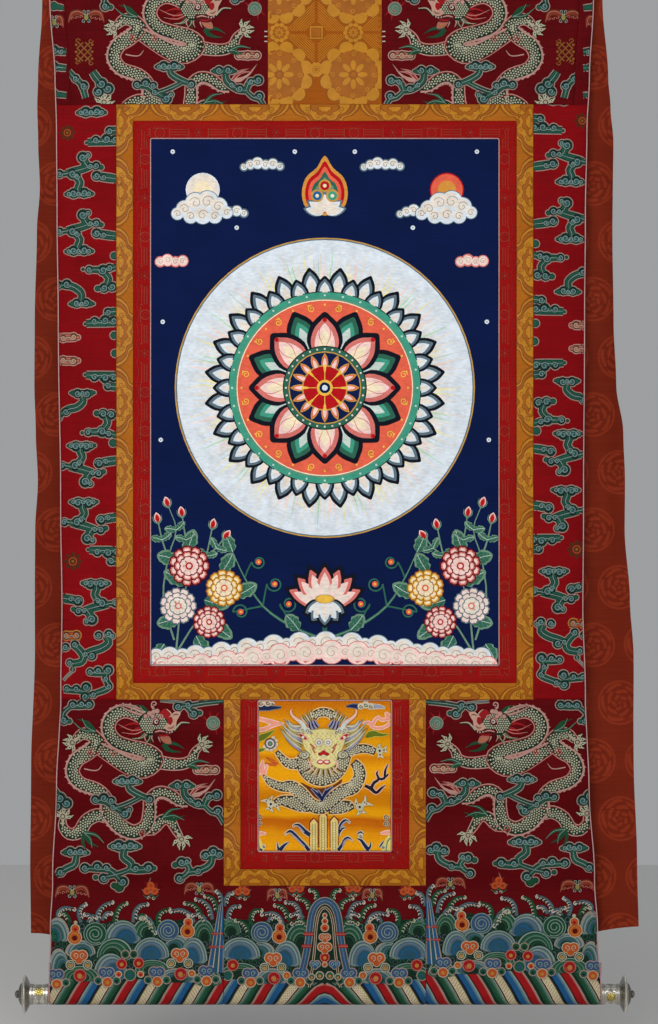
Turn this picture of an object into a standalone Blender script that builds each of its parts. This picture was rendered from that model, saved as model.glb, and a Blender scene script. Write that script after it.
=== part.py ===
"""A thangka: a painted cloth in a brocade mount, hanging, with a roller at its foot and a silk cover behind.

Metres, +Z up. The front faces -Y. The origin is the middle of the top edge, on the fold of the top hem.

Each piece of the mount is first cut flat, in a cutting frame whose x runs across the cloth, whose y is
the drop from the top edge measured along the cloth, and whose z is the height above the cloth's middle
surface. hang() then takes each point to its place on the hanging cloth, over the hem at the top, down
the soft rolls of the front and round the roller at the foot.
"""

import math

import bmesh
import bpy
from mathutils import Vector

# The painting and its frames
PAINTING_WIDTH = 0.500
PAINTING_HEIGHT = 0.755
BORDER_WIDTH = 0.024
DOOR_WIDTH = 0.193
DOOR_HEIGHT = 0.218
HEAD_DROP = 0.221
HEAD_CENTRE_WIDTH = 0.163
HEAD_STRIP_WIDTH = 0.0215
SEAM_GAP = 0.0003
MITRE_GAP = 0.00022

# Cloth
BROCADE = 0.0020
GOLD_RISE = 0.0005
RED_RISE = 0.0002
CANVAS = 0.0012
PIPING_WIDTH = 0.0017
PIPING_RISE = 0.0004
COVER = 0.0010
HEM_RADIUS = 0.00135
HEM_DEPTH = 0.032

# The roller at the foot
AXIS_DROP = 1.495
DOWEL_RADIUS = 0.0124
DOWEL_OVERHANG = 0.0250
CLOTH_HALF_WIDTH_AT_FOOT = 0.3955
FERRULE_BORE = 0.0128
SLEEVE_RADIUS = 0.0138
SLEEVE_LEAVES_AT = math.radians(220)
SLEEVE_FLAP_GAP = 0.0005
SLEEVE_FLAP = 0.012
SLEEVE_ROWS = 10
KNOB_GAP = 0.0011

# How closely the pieces are divided
HEAD_ROWS = 0.020
FRAME_ROWS = 0.030
FOOT_ROWS = 0.018
COVER_ROWS = 24
COVER_COLUMNS = 26
ROUND_STEPS = 24
SHARP_ANGLE = math.radians(35)
WELD = 1e-6

# Where the mount's outer edges hang, left and right of the middle, and how far they curl back.
MOUNT_EDGES = [
    # drop, left, right, curl
    (0.000, 0.3980, 0.3880, 0.000),
    (0.075, 0.3940, 0.3850, 0.003),
    (0.182, 0.3870, 0.3795, 0.008),
    (0.260, 0.3850, 0.3760, 0.011),
    (0.380, 0.3845, 0.3740, 0.014),
    (0.520, 0.3830, 0.3730, 0.016),
    (0.790, 0.3795, 0.3715, 0.017),
    (0.940, 0.3775, 0.3705, 0.016),
    (1.072, 0.3790, 0.3740, 0.012),
    (1.190, 0.3845, 0.3785, 0.007),
    (1.330, 0.3900, 0.3865, 0.002),
    (1.400, 0.3930, 0.3905, 0.000),
    (1.495, 0.3950, 0.3960, 0.000),
]
CURL_STARTS = 0.290
CURL_WIDTH = 0.095
CURL_POWER = 1.6
CURL_REACH = 1.4

# The soft rolls that the cloth keeps from being rolled up: a plus depth lies back, a minus one forward.
ROLLS = [
    # drop, depth
    (0.012, 0.0000),
    (0.045, -0.0014),
    (0.100, 0.0016),
    (0.155, -0.0012),
    (0.208, 0.0014),
    (0.262, -0.0010),
    (0.340, 0.0008),
    (0.430, -0.0009),
    (0.520, 0.0010),
    (0.620, -0.0008),
    (0.730, 0.0011),
    (0.840, -0.0009),
    (0.940, 0.0011),
    (1.030, -0.0014),
    (1.078, 0.0020),
    (1.108, -0.0026),
    (1.148, 0.0024),
    (1.196, -0.0028),
    (1.246, 0.0024),
    (1.300, -0.0024),
    (1.345, 0.0018),
    (1.385, -0.0012),
    (1.420, 0.0008),
    (1.450, 0.0000),
]

# The cover's free edges, and how far its middle surface hangs behind the top hem's fold.
COVER_EDGES = [
    # drop, left, right, behind
    (0.002, 0.4000, 0.3900, 0.0032),
    (0.034, 0.4020, 0.3930, 0.0032),
    (0.075, 0.4050, 0.3980, 0.0060),
    (0.182, 0.4120, 0.4070, 0.0085),
    (0.222, 0.4135, 0.4105, 0.0090),
    (0.272, 0.4125, 0.4150, 0.0095),
    (0.336, 0.4105, 0.4145, 0.0100),
    (0.400, 0.4150, 0.4140, 0.0100),
    (0.530, 0.4185, 0.4160, 0.0100),
    (0.620, 0.4190, 0.4200, 0.0095),
    (0.690, 0.4170, 0.4305, 0.0095),
    (0.760, 0.4140, 0.4330, 0.0095),
    (0.830, 0.4180, 0.4325, 0.0100),
    (0.930, 0.4185, 0.4400, 0.0105),
    (1.010, 0.4180, 0.4450, 0.0110),
    (1.160, 0.4225, 0.4440, 0.0120),
    (1.300, 0.4230, 0.4480, 0.0125),
    (1.420, 0.4215, 0.4500, 0.0130),
]
COVER_FOLDS = [
    # x at the top, x at the foot, half width, depth
    (-0.385, -0.400, 0.024, 0.0050),
    (-0.285, -0.330, 0.045, 0.0045),
    (-0.120, -0.150, 0.060, 0.0050),
    (0.060, 0.030, 0.050, 0.0042),
    (0.190, 0.225, 0.055, 0.0052),
    (0.350, 0.372, 0.036, 0.0048),
    (0.398, 0.432, 0.020, -0.0035),
]
COVER_CURL_SHARE = 1.12
COVER_FOLDS_START = 0.05
COVER_FOLDS_FULL = 0.32
COVER_FOOT_LEFT = 1.408
COVER_FOOT_MIDDLE = 1.419
COVER_FOOT_RIGHT = 1.398
COVER_CORNER_LEFT = 0.10
COVER_CORNER_RIGHT = 0.16

# Turned silver knobs: reach along the roller and radius.
FERRULE_OUTER = [
    (0.0000, 0.0146),
    (0.0030, 0.0146),
    (0.0038, 0.0139),
    (0.0215, 0.0139),
    (0.0223, 0.0146),
    (0.0255, 0.0146),
]
FLANGE_OUTER = [
    (0.0000, 0.0146),
    (0.0020, 0.0172),
    (0.0045, 0.0222),
    (0.0060, 0.0258),
    (0.0074, 0.0266),
    (0.0090, 0.0256),
    (0.0090, 0.0180),
]
TIP_OUTER = [
    (0.0000, 0.0176),
    (0.0016, 0.0172),
    (0.0045, 0.0136),
    (0.0064, 0.0086),
    (0.0074, 0.0050),
    (0.0092, 0.0060),
    (0.0112, 0.0048),
    (0.0126, 0.0022),
]
TIP_LENGTH = 0.0130

# Colours: linear red, green, blue, then roughness and metallic
FINISHES = {
    "red_brocade": ((0.185, 0.004, 0.008), 0.62, 0.0),
    "gold_brocade": ((0.530, 0.210, 0.022), 0.48, 0.0),
    "red_border": ((0.440, 0.006, 0.012), 0.60, 0.0),
    "painted_cotton": ((0.004, 0.008, 0.045), 0.75, 0.0),
    "yellow_brocade": ((0.680, 0.330, 0.018), 0.45, 0.0),
    "piping": ((0.560, 0.400, 0.420), 0.70, 0.0),
    "cover_silk": ((0.210, 0.036, 0.012), 0.50, 0.0),
    "silver": ((0.720, 0.710, 0.690), 0.25, 1.0),
    "wood": ((0.300, 0.170, 0.080), 0.60, 0.0),
}

# Places that follow from the sizes above
HEM_TOP = HEM_RADIUS + BROCADE / 2
HEM_QUARTER = HEM_RADIUS * math.pi / 2
FRAME_HALF = PAINTING_WIDTH / 2 + 2 * BORDER_WIDTH
FRAME_FOOT = HEAD_DROP + PAINTING_HEIGHT + 4 * BORDER_WIDTH
DOOR_FRAME_HALF = DOOR_WIDTH / 2 + 2 * BORDER_WIDTH
DOOR_FRAME_FOOT = FRAME_FOOT + DOOR_HEIGHT + 2 * BORDER_WIDTH
ROLLER_Y = SLEEVE_RADIUS - HEM_RADIUS
SLEEVE_ARC = SLEEVE_RADIUS * SLEEVE_LEAVES_AT


def clear_scene():
    for obj in list(bpy.data.objects):
        bpy.data.objects.remove(obj)


def ease(share):
    """0 to 1 with a level start and end."""
    share = min(max(share, 0.0), 1.0)
    return share * share * (3 - 2 * share)


def along_table(rows, at, column):
    """The value of a table's column at a drop, eased between its rows."""
    if at <= rows[0][0]:
        return rows[0][column]
    for upper, lower in zip(rows, rows[1:]):
        if at <= lower[0]:
            share = (at - upper[0]) / (lower[0] - upper[0])
            return upper[column] + (lower[column] - upper[column]) * ease(share)
    return rows[-1][column]


def curl_back(x, drop):
    """How far the mount's outer strips swing back towards their edges."""
    outward = max(abs(x) - CURL_STARTS, 0.0) / CURL_WIDTH
    return along_table(MOUNT_EDGES, drop, 3) * min(outward, CURL_REACH) ** CURL_POWER


def front_depth(x, drop):
    """How far back the hanging front lies at a point: its rolls and its curled sides."""
    return along_table(ROLLS, drop, 1) + curl_back(x, drop)


def sleeve_flap_points():
    """The last stretch of the sleeve, which leaves the roller and lies on the back of the cloth."""
    turn = SLEEVE_LEAVES_AT - math.pi
    start = Vector((SLEEVE_RADIUS * math.cos(turn), SLEEVE_RADIUS * math.sin(turn)))
    lands_at = BROCADE + SLEEVE_FLAP_GAP - SLEEVE_RADIUS
    length = (start.x - lands_at) / math.sin(turn)
    landing = start + Vector((-math.sin(turn), math.cos(turn))) * length
    return start, landing, landing + Vector((0.0, SLEEVE_FLAP))


def hang(point):
    """Takes a point of the cutting frame to its place on the hanging cloth."""
    x, drop, height = point
    fold_centre = -HEM_TOP
    if drop < -HEM_QUARTER:
        return Vector((x, HEM_RADIUS + height, fold_centre + drop + HEM_QUARTER))
    if drop < HEM_QUARTER:
        angle = drop / HEM_RADIUS
        radius = HEM_RADIUS + height
        return Vector((x, -radius * math.sin(angle), fold_centre + radius * math.cos(angle)))
    if drop <= AXIS_DROP:
        step = 0.001
        depth = front_depth(x, drop)
        slope_x = (front_depth(x + step, drop) - front_depth(x - step, drop)) / (2 * step)
        slope_z = (front_depth(x, drop - step) - front_depth(x, drop + step)) / (2 * step)
        normal = Vector((slope_x, -1.0, slope_z)).normalized()
        middle = Vector((x, depth - HEM_RADIUS, fold_centre + HEM_QUARTER - drop))
        return middle + normal * height
    axis_z = fold_centre + HEM_QUARTER - AXIS_DROP
    if drop <= AXIS_DROP + SLEEVE_ARC:
        angle = (drop - AXIS_DROP) / SLEEVE_RADIUS
        radius = SLEEVE_RADIUS + height
        return Vector(
            (x, ROLLER_Y - radius * math.cos(angle), axis_z - radius * math.sin(angle))
        )
    start, landing, end = sleeve_flap_points()
    run = drop - AXIS_DROP - SLEEVE_ARC
    slant = (landing - start).length
    if run < slant:
        place = start.lerp(landing, run / slant)
        normal = start.normalized()
    else:
        place = landing.lerp(end, (run - slant) / SLEEVE_FLAP)
        normal = Vector((1.0, 0.0))
    place = place + normal * height
    return Vector((x, ROLLER_Y + place.x, axis_z + place.y))


def material(finish):
    made = bpy.data.materials.get(finish)
    if made:
        return made
    colour, roughness, metallic = FINISHES[finish]
    made = bpy.data.materials.new(finish)
    made.use_nodes = True
    shader = made.node_tree.nodes["Principled BSDF"]
    shader.inputs["Base Color"].default_value = (*colour, 1.0)
    shader.inputs["Roughness"].default_value = roughness
    shader.inputs["Metallic"].default_value = metallic
    return made


def add_object(name, bm, finish):
    bm.normal_update()
    bmesh.ops.recalc_face_normals(bm, faces=bm.faces)
    mesh = bpy.data.meshes.new(name)
    bm.to_mesh(mesh)
    bm.free()
    obj = bpy.data.objects.new(name, mesh)
    bpy.context.collection.objects.link(obj)
    mesh.materials.append(material(finish))
    return obj


def as_function(value):
    return value if callable(value) else lambda _: value


def steps(start, end, spacing):
    """Evenly spaced stations from start to end, about that far apart."""
    count = max(1, round((end - start) / spacing))
    return [start + (end - start) * i / count for i in range(count + 1)]


def slab(columns, stations, low, high):
    """A flat slab: x from 0 to 1, a row of points at each station, and z from low to high."""
    bm = bmesh.new()
    bmesh.ops.create_grid(bm, x_segments=columns, y_segments=len(stations) - 1, size=0.5)
    for vert in bm.verts:
        row = round((vert.co.y + 0.5) * (len(stations) - 1))
        vert.co = Vector((vert.co.x + 0.5, stations[row], low))
    raised = bmesh.ops.extrude_face_region(bm, geom=bm.faces[:])
    for vert in raised["geom"]:
        if isinstance(vert, bmesh.types.BMVert):
            vert.co.z = high
    return bm


def cut_panel(name, finish, left, right, stations, columns=1, low=-BROCADE / 2, high=BROCADE / 2):
    """A panel whose sides follow left and right, each an x or a function of the drop."""
    left, right = as_function(left), as_function(right)
    bm = slab(columns, stations, low, high)
    for vert in bm.verts:
        across, drop, height = vert.co
        x = left(drop) + (right(drop) - left(drop)) * across
        vert.co = hang((x, drop, height))
    return add_object(name, bm, finish)


def cut_upright_strip(name, finish, inner, outer, tops, feet, spacing, high):
    """A mitred upright strip: tops and feet are the drops of its slanted ends at inner and outer."""
    share_steps = steps(0.0, feet[1] - tops[1], spacing)
    bm = slab(1, share_steps, -BROCADE / 2, high)
    length = share_steps[-1]
    for vert in bm.verts:
        across, run, height = vert.co
        top = tops[0] + (tops[1] - tops[0]) * across
        foot = feet[0] + (feet[1] - feet[0]) * across
        x = inner + (outer - inner) * across
        vert.co = hang((x, top + (foot - top) * run / length, height))
    return add_object(name, bm, finish)


def cut_level_strip(name, finish, inner_half, outer_half, inner_drop, outer_drop, columns, high):
    """A mitred level strip, inner_half wide at inner_drop and outer_half wide at outer_drop."""

    def half(drop):
        share = (drop - inner_drop) / (outer_drop - inner_drop)
        return inner_half + (outer_half - inner_half) * share

    stations = sorted((inner_drop, outer_drop))
    return cut_panel(
        name, finish, lambda d: -half(d), half, stations, columns, -BROCADE / 2, high
    )


def left_edge(drop):
    return -along_table(MOUNT_EDGES, drop, 1)


def right_edge(drop):
    return along_table(MOUNT_EDGES, drop, 2)


def inside_left_edge(drop):
    return left_edge(drop) + PIPING_WIDTH + SEAM_GAP


def inside_right_edge(drop):
    return right_edge(drop) - PIPING_WIDTH - SEAM_GAP


def frame_border(prefix, finish, inner_half, top, foot, rise, open_top=False):
    """Four mitred strips round an opening, or three where the opening has no strip above it."""
    half_gap = SEAM_GAP / 2
    high = BROCADE / 2 + rise
    inner = inner_half + half_gap
    outer = inner_half + BORDER_WIDTH - half_gap
    for side, sign in (("left", -1), ("right", 1)):
        tops = (top - half_gap + MITRE_GAP, top - BORDER_WIDTH + half_gap + MITRE_GAP)
        if open_top:
            tops = (top + half_gap, top + half_gap)
        feet = (foot + half_gap - MITRE_GAP, foot + BORDER_WIDTH - half_gap - MITRE_GAP)
        spacing = FOOT_ROWS if open_top else FRAME_ROWS
        cut_upright_strip(
            f"{prefix}_{side}", finish, sign * inner, sign * outer, tops, feet, spacing, high
        )
    columns = 6 if open_top else 10
    ends = (inner - MITRE_GAP, outer - MITRE_GAP)
    cut_level_strip(
        f"{prefix}_foot", finish, *ends, foot + half_gap, foot + BORDER_WIDTH - half_gap, columns, high
    )
    if not open_top:
        cut_level_strip(
            f"{prefix}_top", finish, *ends, top - half_gap, top - BORDER_WIDTH + half_gap, columns, high
        )


def piping_ring(name, half, top, foot, spacing):
    """A thin cord laid round an opening, just inside its edge."""
    outer_half = half - SEAM_GAP / 2
    stations = [top + SEAM_GAP / 2]
    stations += steps(stations[0] + PIPING_WIDTH, foot - SEAM_GAP / 2 - PIPING_WIDTH, spacing)
    stations.append(foot - SEAM_GAP / 2)
    bm = bmesh.new()
    bmesh.ops.create_grid(bm, x_segments=3, y_segments=len(stations) - 1, size=0.5)
    lines = (-outer_half, -outer_half + PIPING_WIDTH, outer_half - PIPING_WIDTH, outer_half)
    low, high = -CANVAS / 2, BROCADE / 2 + PIPING_RISE
    for vert in bm.verts:
        row = round((vert.co.y + 0.5) * (len(stations) - 1))
        vert.co = Vector((lines[round((vert.co.x + 0.5) * 3)], stations[row], low))
    inside = [
        face
        for face in bm.faces
        if abs(face.calc_center_median().x) < outer_half - PIPING_WIDTH
        and stations[1] < face.calc_center_median().y < stations[-2]
    ]
    bmesh.ops.delete(bm, geom=inside, context="FACES")
    raised = bmesh.ops.extrude_face_region(bm, geom=bm.faces[:])
    for vert in raised["geom"]:
        if isinstance(vert, bmesh.types.BMVert):
            vert.co.z = high
    for vert in bm.verts:
        vert.co = hang(vert.co)
    return add_object(name, bm, "piping")


def picture(name, finish, half, top, foot, columns, spacing):
    """The cloth inside a piping ring."""
    margin = PIPING_WIDTH + 1.5 * SEAM_GAP
    stations = steps(top + margin, foot - margin, spacing)
    cut_panel(name, finish, -half + margin, half - margin, stations, columns, -CANVAS / 2, CANVAS / 2)


def hem_stations():
    """Rows of the turned hem: up the back and over the top fold."""
    over = steps(-HEM_QUARTER, HEM_QUARTER, HEM_QUARTER / 2)
    return [-HEM_DEPTH, -HEM_DEPTH / 2] + over


def head_stations():
    """Rows from the turned hem down to the head's seam."""
    return hem_stations() + steps(HEM_QUARTER, HEAD_DROP - SEAM_GAP / 2, HEAD_ROWS)[1:]


def frame_stations():
    """Rows beside the painting."""
    return steps(HEAD_DROP + SEAM_GAP / 2, FRAME_FOOT - SEAM_GAP / 2, FRAME_ROWS)


def foot_stations(top):
    """Rows from a seam down to the roller, round it and up to the end of the sleeve's flap."""
    start, landing, _ = sleeve_flap_points()
    sleeve_end = AXIS_DROP + SLEEVE_ARC
    slant_end = sleeve_end + (landing - start).length
    hanging = steps(top + SEAM_GAP / 2, AXIS_DROP, FOOT_ROWS)
    round_it = steps(AXIS_DROP, sleeve_end, SLEEVE_ARC / SLEEVE_ROWS)
    return hanging + round_it[1:] + [slant_end, slant_end + SLEEVE_FLAP]


def build_head():
    """The three widths above the painting, and the narrow strips that make up the width at the sides."""
    stations = head_stations()
    centre = HEAD_CENTRE_WIDTH / 2
    half_gap = SEAM_GAP / 2
    cut_panel("head_centre", "gold_brocade", -centre + half_gap, centre - half_gap, stations, 2)

    def left_seam(drop):
        return left_edge(drop) + HEAD_STRIP_WIDTH

    def right_seam(drop):
        return right_edge(drop) - HEAD_STRIP_WIDTH

    def strip_left(drop):
        return left_seam(drop) - half_gap

    def strip_right(drop):
        return right_seam(drop) + half_gap

    def head_left(drop):
        return left_seam(drop) + half_gap

    def head_right(drop):
        return right_seam(drop) - half_gap

    cut_panel("head_left", "red_brocade", head_left, -centre - half_gap, stations, 3)
    cut_panel("head_right", "red_brocade", centre + half_gap, head_right, stations, 3)
    cut_panel("head_strip_left", "red_brocade", inside_left_edge, strip_left, stations)
    cut_panel("head_strip_right", "red_brocade", strip_right, inside_right_edge, stations)


def build_painting():
    """The painted canvas with its piping, its red and gold borders, and the brocade at its sides."""
    opening = PAINTING_WIDTH / 2
    top = HEAD_DROP + 2 * BORDER_WIDTH
    foot = top + PAINTING_HEIGHT
    picture("painting", "painted_cotton", opening, top, foot, 4, FRAME_ROWS)
    piping_ring("painting_piping", opening, top, foot, FRAME_ROWS)
    frame_border("red_border", "red_border", opening, top, foot, RED_RISE)
    frame_border(
        "gold_border",
        "gold_brocade",
        opening + BORDER_WIDTH,
        top - BORDER_WIDTH,
        foot + BORDER_WIDTH,
        GOLD_RISE,
    )
    inner = FRAME_HALF + SEAM_GAP / 2
    cut_panel("side_left", "red_brocade", inside_left_edge, -inner, frame_stations(), 3)
    cut_panel("side_right", "red_brocade", inner, inside_right_edge, frame_stations(), 3)


def build_foot():
    """The yellow door with its borders, and the three widths that go round the roller."""
    half_gap = SEAM_GAP / 2
    opening = DOOR_WIDTH / 2
    top = FRAME_FOOT
    foot = top + DOOR_HEIGHT
    picture("door", "yellow_brocade", opening, top, foot, 3, FOOT_ROWS)
    piping_ring("door_piping", opening, top, foot, FOOT_ROWS)
    frame_border("door_red", "red_border", opening, top, foot, RED_RISE, open_top=True)
    door_gold_foot = foot + BORDER_WIDTH
    frame_border(
        "door_gold", "gold_brocade", opening + BORDER_WIDTH, top, door_gold_foot, GOLD_RISE, open_top=True
    )
    seam = DOOR_FRAME_HALF
    rows = foot_stations(FRAME_FOOT)
    cut_panel("foot_left", "red_brocade", inside_left_edge, -seam - half_gap, rows, 3)
    cut_panel("foot_right", "red_brocade", seam + half_gap, inside_right_edge, rows, 3)
    rows = foot_stations(DOOR_FRAME_FOOT)
    cut_panel("foot_centre", "red_brocade", -seam + half_gap, seam - half_gap, rows, 2)


def build_edge_piping():
    """A cord down each outer edge, with the rows of the cloth beside it, so that the seam stays even."""
    rows = head_stations()[:-1] + [HEAD_DROP]
    rows += frame_stations()[1:-1] + [FRAME_FOOT]
    rows += foot_stations(FRAME_FOOT)[1:]
    heights = (-BROCADE / 2, BROCADE / 2 + PIPING_RISE)

    def left_seam(drop):
        return left_edge(drop) + PIPING_WIDTH

    def right_seam(drop):
        return right_edge(drop) - PIPING_WIDTH

    cut_panel("edge_piping_left", "piping", left_edge, left_seam, rows, 1, *heights)
    cut_panel("edge_piping_right", "piping", right_seam, right_edge, rows, 1, *heights)


def cover_depth(x, drop):
    """How far back the cover's middle surface hangs, with its upright folds."""
    grown = ease((drop - COVER_FOLDS_START) / (COVER_FOLDS_FULL - COVER_FOLDS_START))
    foot_share = drop / COVER_FOOT_MIDDLE
    depth = along_table(COVER_EDGES, drop, 3) + COVER_CURL_SHARE * curl_back(x, drop)
    for top_x, foot_x, half_width, fold in COVER_FOLDS:
        middle = top_x + (foot_x - top_x) * foot_share
        depth += grown * fold * math.exp(-(((x - middle) / half_width) ** 2))
    return depth


def cover_foot(across):
    """The drop of the cover's foot, which hangs lower in the middle than at its corners."""
    left_lift = 1 - ease(across / COVER_CORNER_LEFT)
    right_lift = 1 - ease((1 - across) / COVER_CORNER_RIGHT)
    left_lift *= COVER_FOOT_LEFT - COVER_FOOT_MIDDLE
    right_lift *= COVER_FOOT_RIGHT - COVER_FOOT_MIDDLE
    return COVER_FOOT_MIDDLE + left_lift + right_lift


def build_cover():
    """The silk cover, thrown over the top and hanging behind the mount."""
    top = COVER_EDGES[0][0]
    shares = steps(0.0, 1.0, 1 / COVER_ROWS)
    bm = slab(COVER_COLUMNS, shares, -COVER / 2, COVER / 2)
    for vert in bm.verts:
        across, share, height = vert.co
        drop = top + (cover_foot(across) - top) * share
        left = -along_table(COVER_EDGES, drop, 1)
        right = along_table(COVER_EDGES, drop, 2)
        x = left + (right - left) * across
        vert.co = Vector((x, cover_depth(x, drop) - height, -drop))
    return add_object("cover", bm, "cover_silk")


def turn_on_roller(name, profile, start, side, finish):
    """A turned piece on the roller's axis: profile is a closed or axis-to-axis line of reach and radius."""
    bm = bmesh.new()
    verts = [bm.verts.new((reach, radius, 0.0)) for reach, radius in profile]
    edges = [bm.edges.new(pair) for pair in zip(verts, verts[1:])]
    if profile[0][1] > 0:
        edges.append(bm.edges.new((verts[-1], verts[0])))
    bmesh.ops.spin(
        bm,
        geom=verts + edges,
        cent=(0, 0, 0),
        axis=(1, 0, 0),
        angle=2 * math.pi,
        steps=ROUND_STEPS,
        use_merge=True,
    )
    bmesh.ops.remove_doubles(bm, verts=bm.verts, dist=WELD)
    axis_z = -HEM_TOP + HEM_QUARTER - AXIS_DROP
    for vert in bm.verts:
        reach, across, up = vert.co
        vert.co = Vector((side * (start + reach), ROLLER_Y + across, axis_z + up))
    obj = add_object(name, bm, finish)
    obj.data.shade_smooth()
    obj.data.set_sharp_from_angle(angle=SHARP_ANGLE)
    return obj


def build_roller():
    """The wooden dowel in the cloth's sleeve, and a silver knob in three pieces at each end."""
    half = CLOTH_HALF_WIDTH_AT_FOOT + DOWEL_OVERHANG
    dowel = [(-half, 0.0), (-half, DOWEL_RADIUS), (half, DOWEL_RADIUS), (half, 0.0)]
    turn_on_roller("roller_dowel", dowel, 0.0, 1, "wood")
    ferrule_length = FERRULE_OUTER[-1][0]
    flange_length = FLANGE_OUTER[-1][0]
    bore = [(ferrule_length, FERRULE_BORE), (0.0, FERRULE_BORE)]
    flange = [(0.0, 0.0)] + FLANGE_OUTER + [(flange_length, 0.0)]
    tip = [(0.0, 0.0)] + TIP_OUTER + [(TIP_LENGTH, 0.0)]
    for side, sign in (("left", -1), ("right", 1)):
        start = CLOTH_HALF_WIDTH_AT_FOOT + KNOB_GAP
        turn_on_roller(f"knob_ferrule_{side}", FERRULE_OUTER + bore, start, sign, "silver")
        start += ferrule_length + SEAM_GAP
        turn_on_roller(f"knob_flange_{side}", flange, start, sign, "silver")
        start += flange_length + SEAM_GAP
        turn_on_roller(f"knob_tip_{side}", tip, start, sign, "silver")


def build():
    clear_scene()
    build_head()
    build_painting()
    build_foot()
    build_edge_piping()
    build_cover()
    build_roller()


build()
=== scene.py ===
# %% [markdown]
# # A thangka in its brocade mount
# A thangka is a painting on cotton, sewn into a mount of silk brocade so that it can be rolled up and
# carried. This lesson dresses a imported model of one: the model gives every cloth its size and its hang,
# and each cell below adds the fine surface of one cloth, the woven or painted motifs on it, or the metal
# at its foot.

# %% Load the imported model
import math

import bmesh
import bpy
import numpy as np
from mathutils import Matrix, Vector


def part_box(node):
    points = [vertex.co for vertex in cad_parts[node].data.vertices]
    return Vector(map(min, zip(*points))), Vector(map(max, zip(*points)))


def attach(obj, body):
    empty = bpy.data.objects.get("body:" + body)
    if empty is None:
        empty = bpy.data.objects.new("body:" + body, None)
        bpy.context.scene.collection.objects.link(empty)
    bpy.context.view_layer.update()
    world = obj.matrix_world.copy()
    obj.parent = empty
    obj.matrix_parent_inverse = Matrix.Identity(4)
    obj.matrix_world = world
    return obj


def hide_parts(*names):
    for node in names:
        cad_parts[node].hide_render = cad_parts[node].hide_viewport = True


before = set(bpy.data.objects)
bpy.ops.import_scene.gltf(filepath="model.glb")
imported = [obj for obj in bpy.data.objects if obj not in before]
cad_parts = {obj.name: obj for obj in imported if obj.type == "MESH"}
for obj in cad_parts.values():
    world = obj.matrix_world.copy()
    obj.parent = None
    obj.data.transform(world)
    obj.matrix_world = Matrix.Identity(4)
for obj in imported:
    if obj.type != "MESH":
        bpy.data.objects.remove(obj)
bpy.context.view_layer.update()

print("packed model:", len(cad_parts), "nodes")

# %% [markdown]
# ## Two frames
# Cloth is easiest to draw flat. Everything on the mount is first laid out in a cutting frame: x runs
# across, the second number is the drop from the top edge measured along the cloth, and the third is the
# height above the cloth's middle surface. One function, hang, then takes any point to its place on the
# hanging cloth. Motifs are drawn on a grid of steps of 1.43 mm, which is also the size of one pixel of
# the reference picture, so their places can be read off it.

# %% Sizes of the mount, in metres
PAINTING_WIDTH = 0.500
PAINTING_HEIGHT = 0.755
BORDER_WIDTH = 0.024
DOOR_WIDTH = 0.193
DOOR_HEIGHT = 0.218
HEAD_DROP = 0.221
HEAD_CENTRE_WIDTH = 0.163
HEAD_STRIP_WIDTH = 0.0215
SEAM_GAP = 0.0003
BROCADE = 0.0020
CANVAS = 0.0012
GOLD_RISE = 0.0005
RED_RISE = 0.0002
PIPING_WIDTH = 0.0017
HEM_RADIUS = 0.00135
HEM_DEPTH = 0.032
AXIS_DROP = 1.495
SLEEVE_RADIUS = 0.0138
SLEEVE_LEAVES_AT = math.radians(220)
SLEEVE_FLAP_GAP = 0.0005
SLEEVE_FLAP = 0.012

HEM_TOP = HEM_RADIUS + BROCADE / 2
HEM_QUARTER = HEM_RADIUS * math.pi / 2
FRAME_HALF = PAINTING_WIDTH / 2 + 2 * BORDER_WIDTH
PAINTING_TOP = HEAD_DROP + 2 * BORDER_WIDTH
PAINTING_FOOT = PAINTING_TOP + PAINTING_HEIGHT
FRAME_FOOT = PAINTING_FOOT + 2 * BORDER_WIDTH
DOOR_FRAME_HALF = DOOR_WIDTH / 2 + 2 * BORDER_WIDTH
DOOR_FOOT = FRAME_FOOT + DOOR_HEIGHT
DOOR_FRAME_FOOT = DOOR_FOOT + 2 * BORDER_WIDTH
ROLLER_Y = SLEEVE_RADIUS - HEM_RADIUS
AXIS_Z = -HEM_TOP + HEM_QUARTER - AXIS_DROP
SLEEVE_ARC = SLEEVE_RADIUS * SLEEVE_LEAVES_AT
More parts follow.
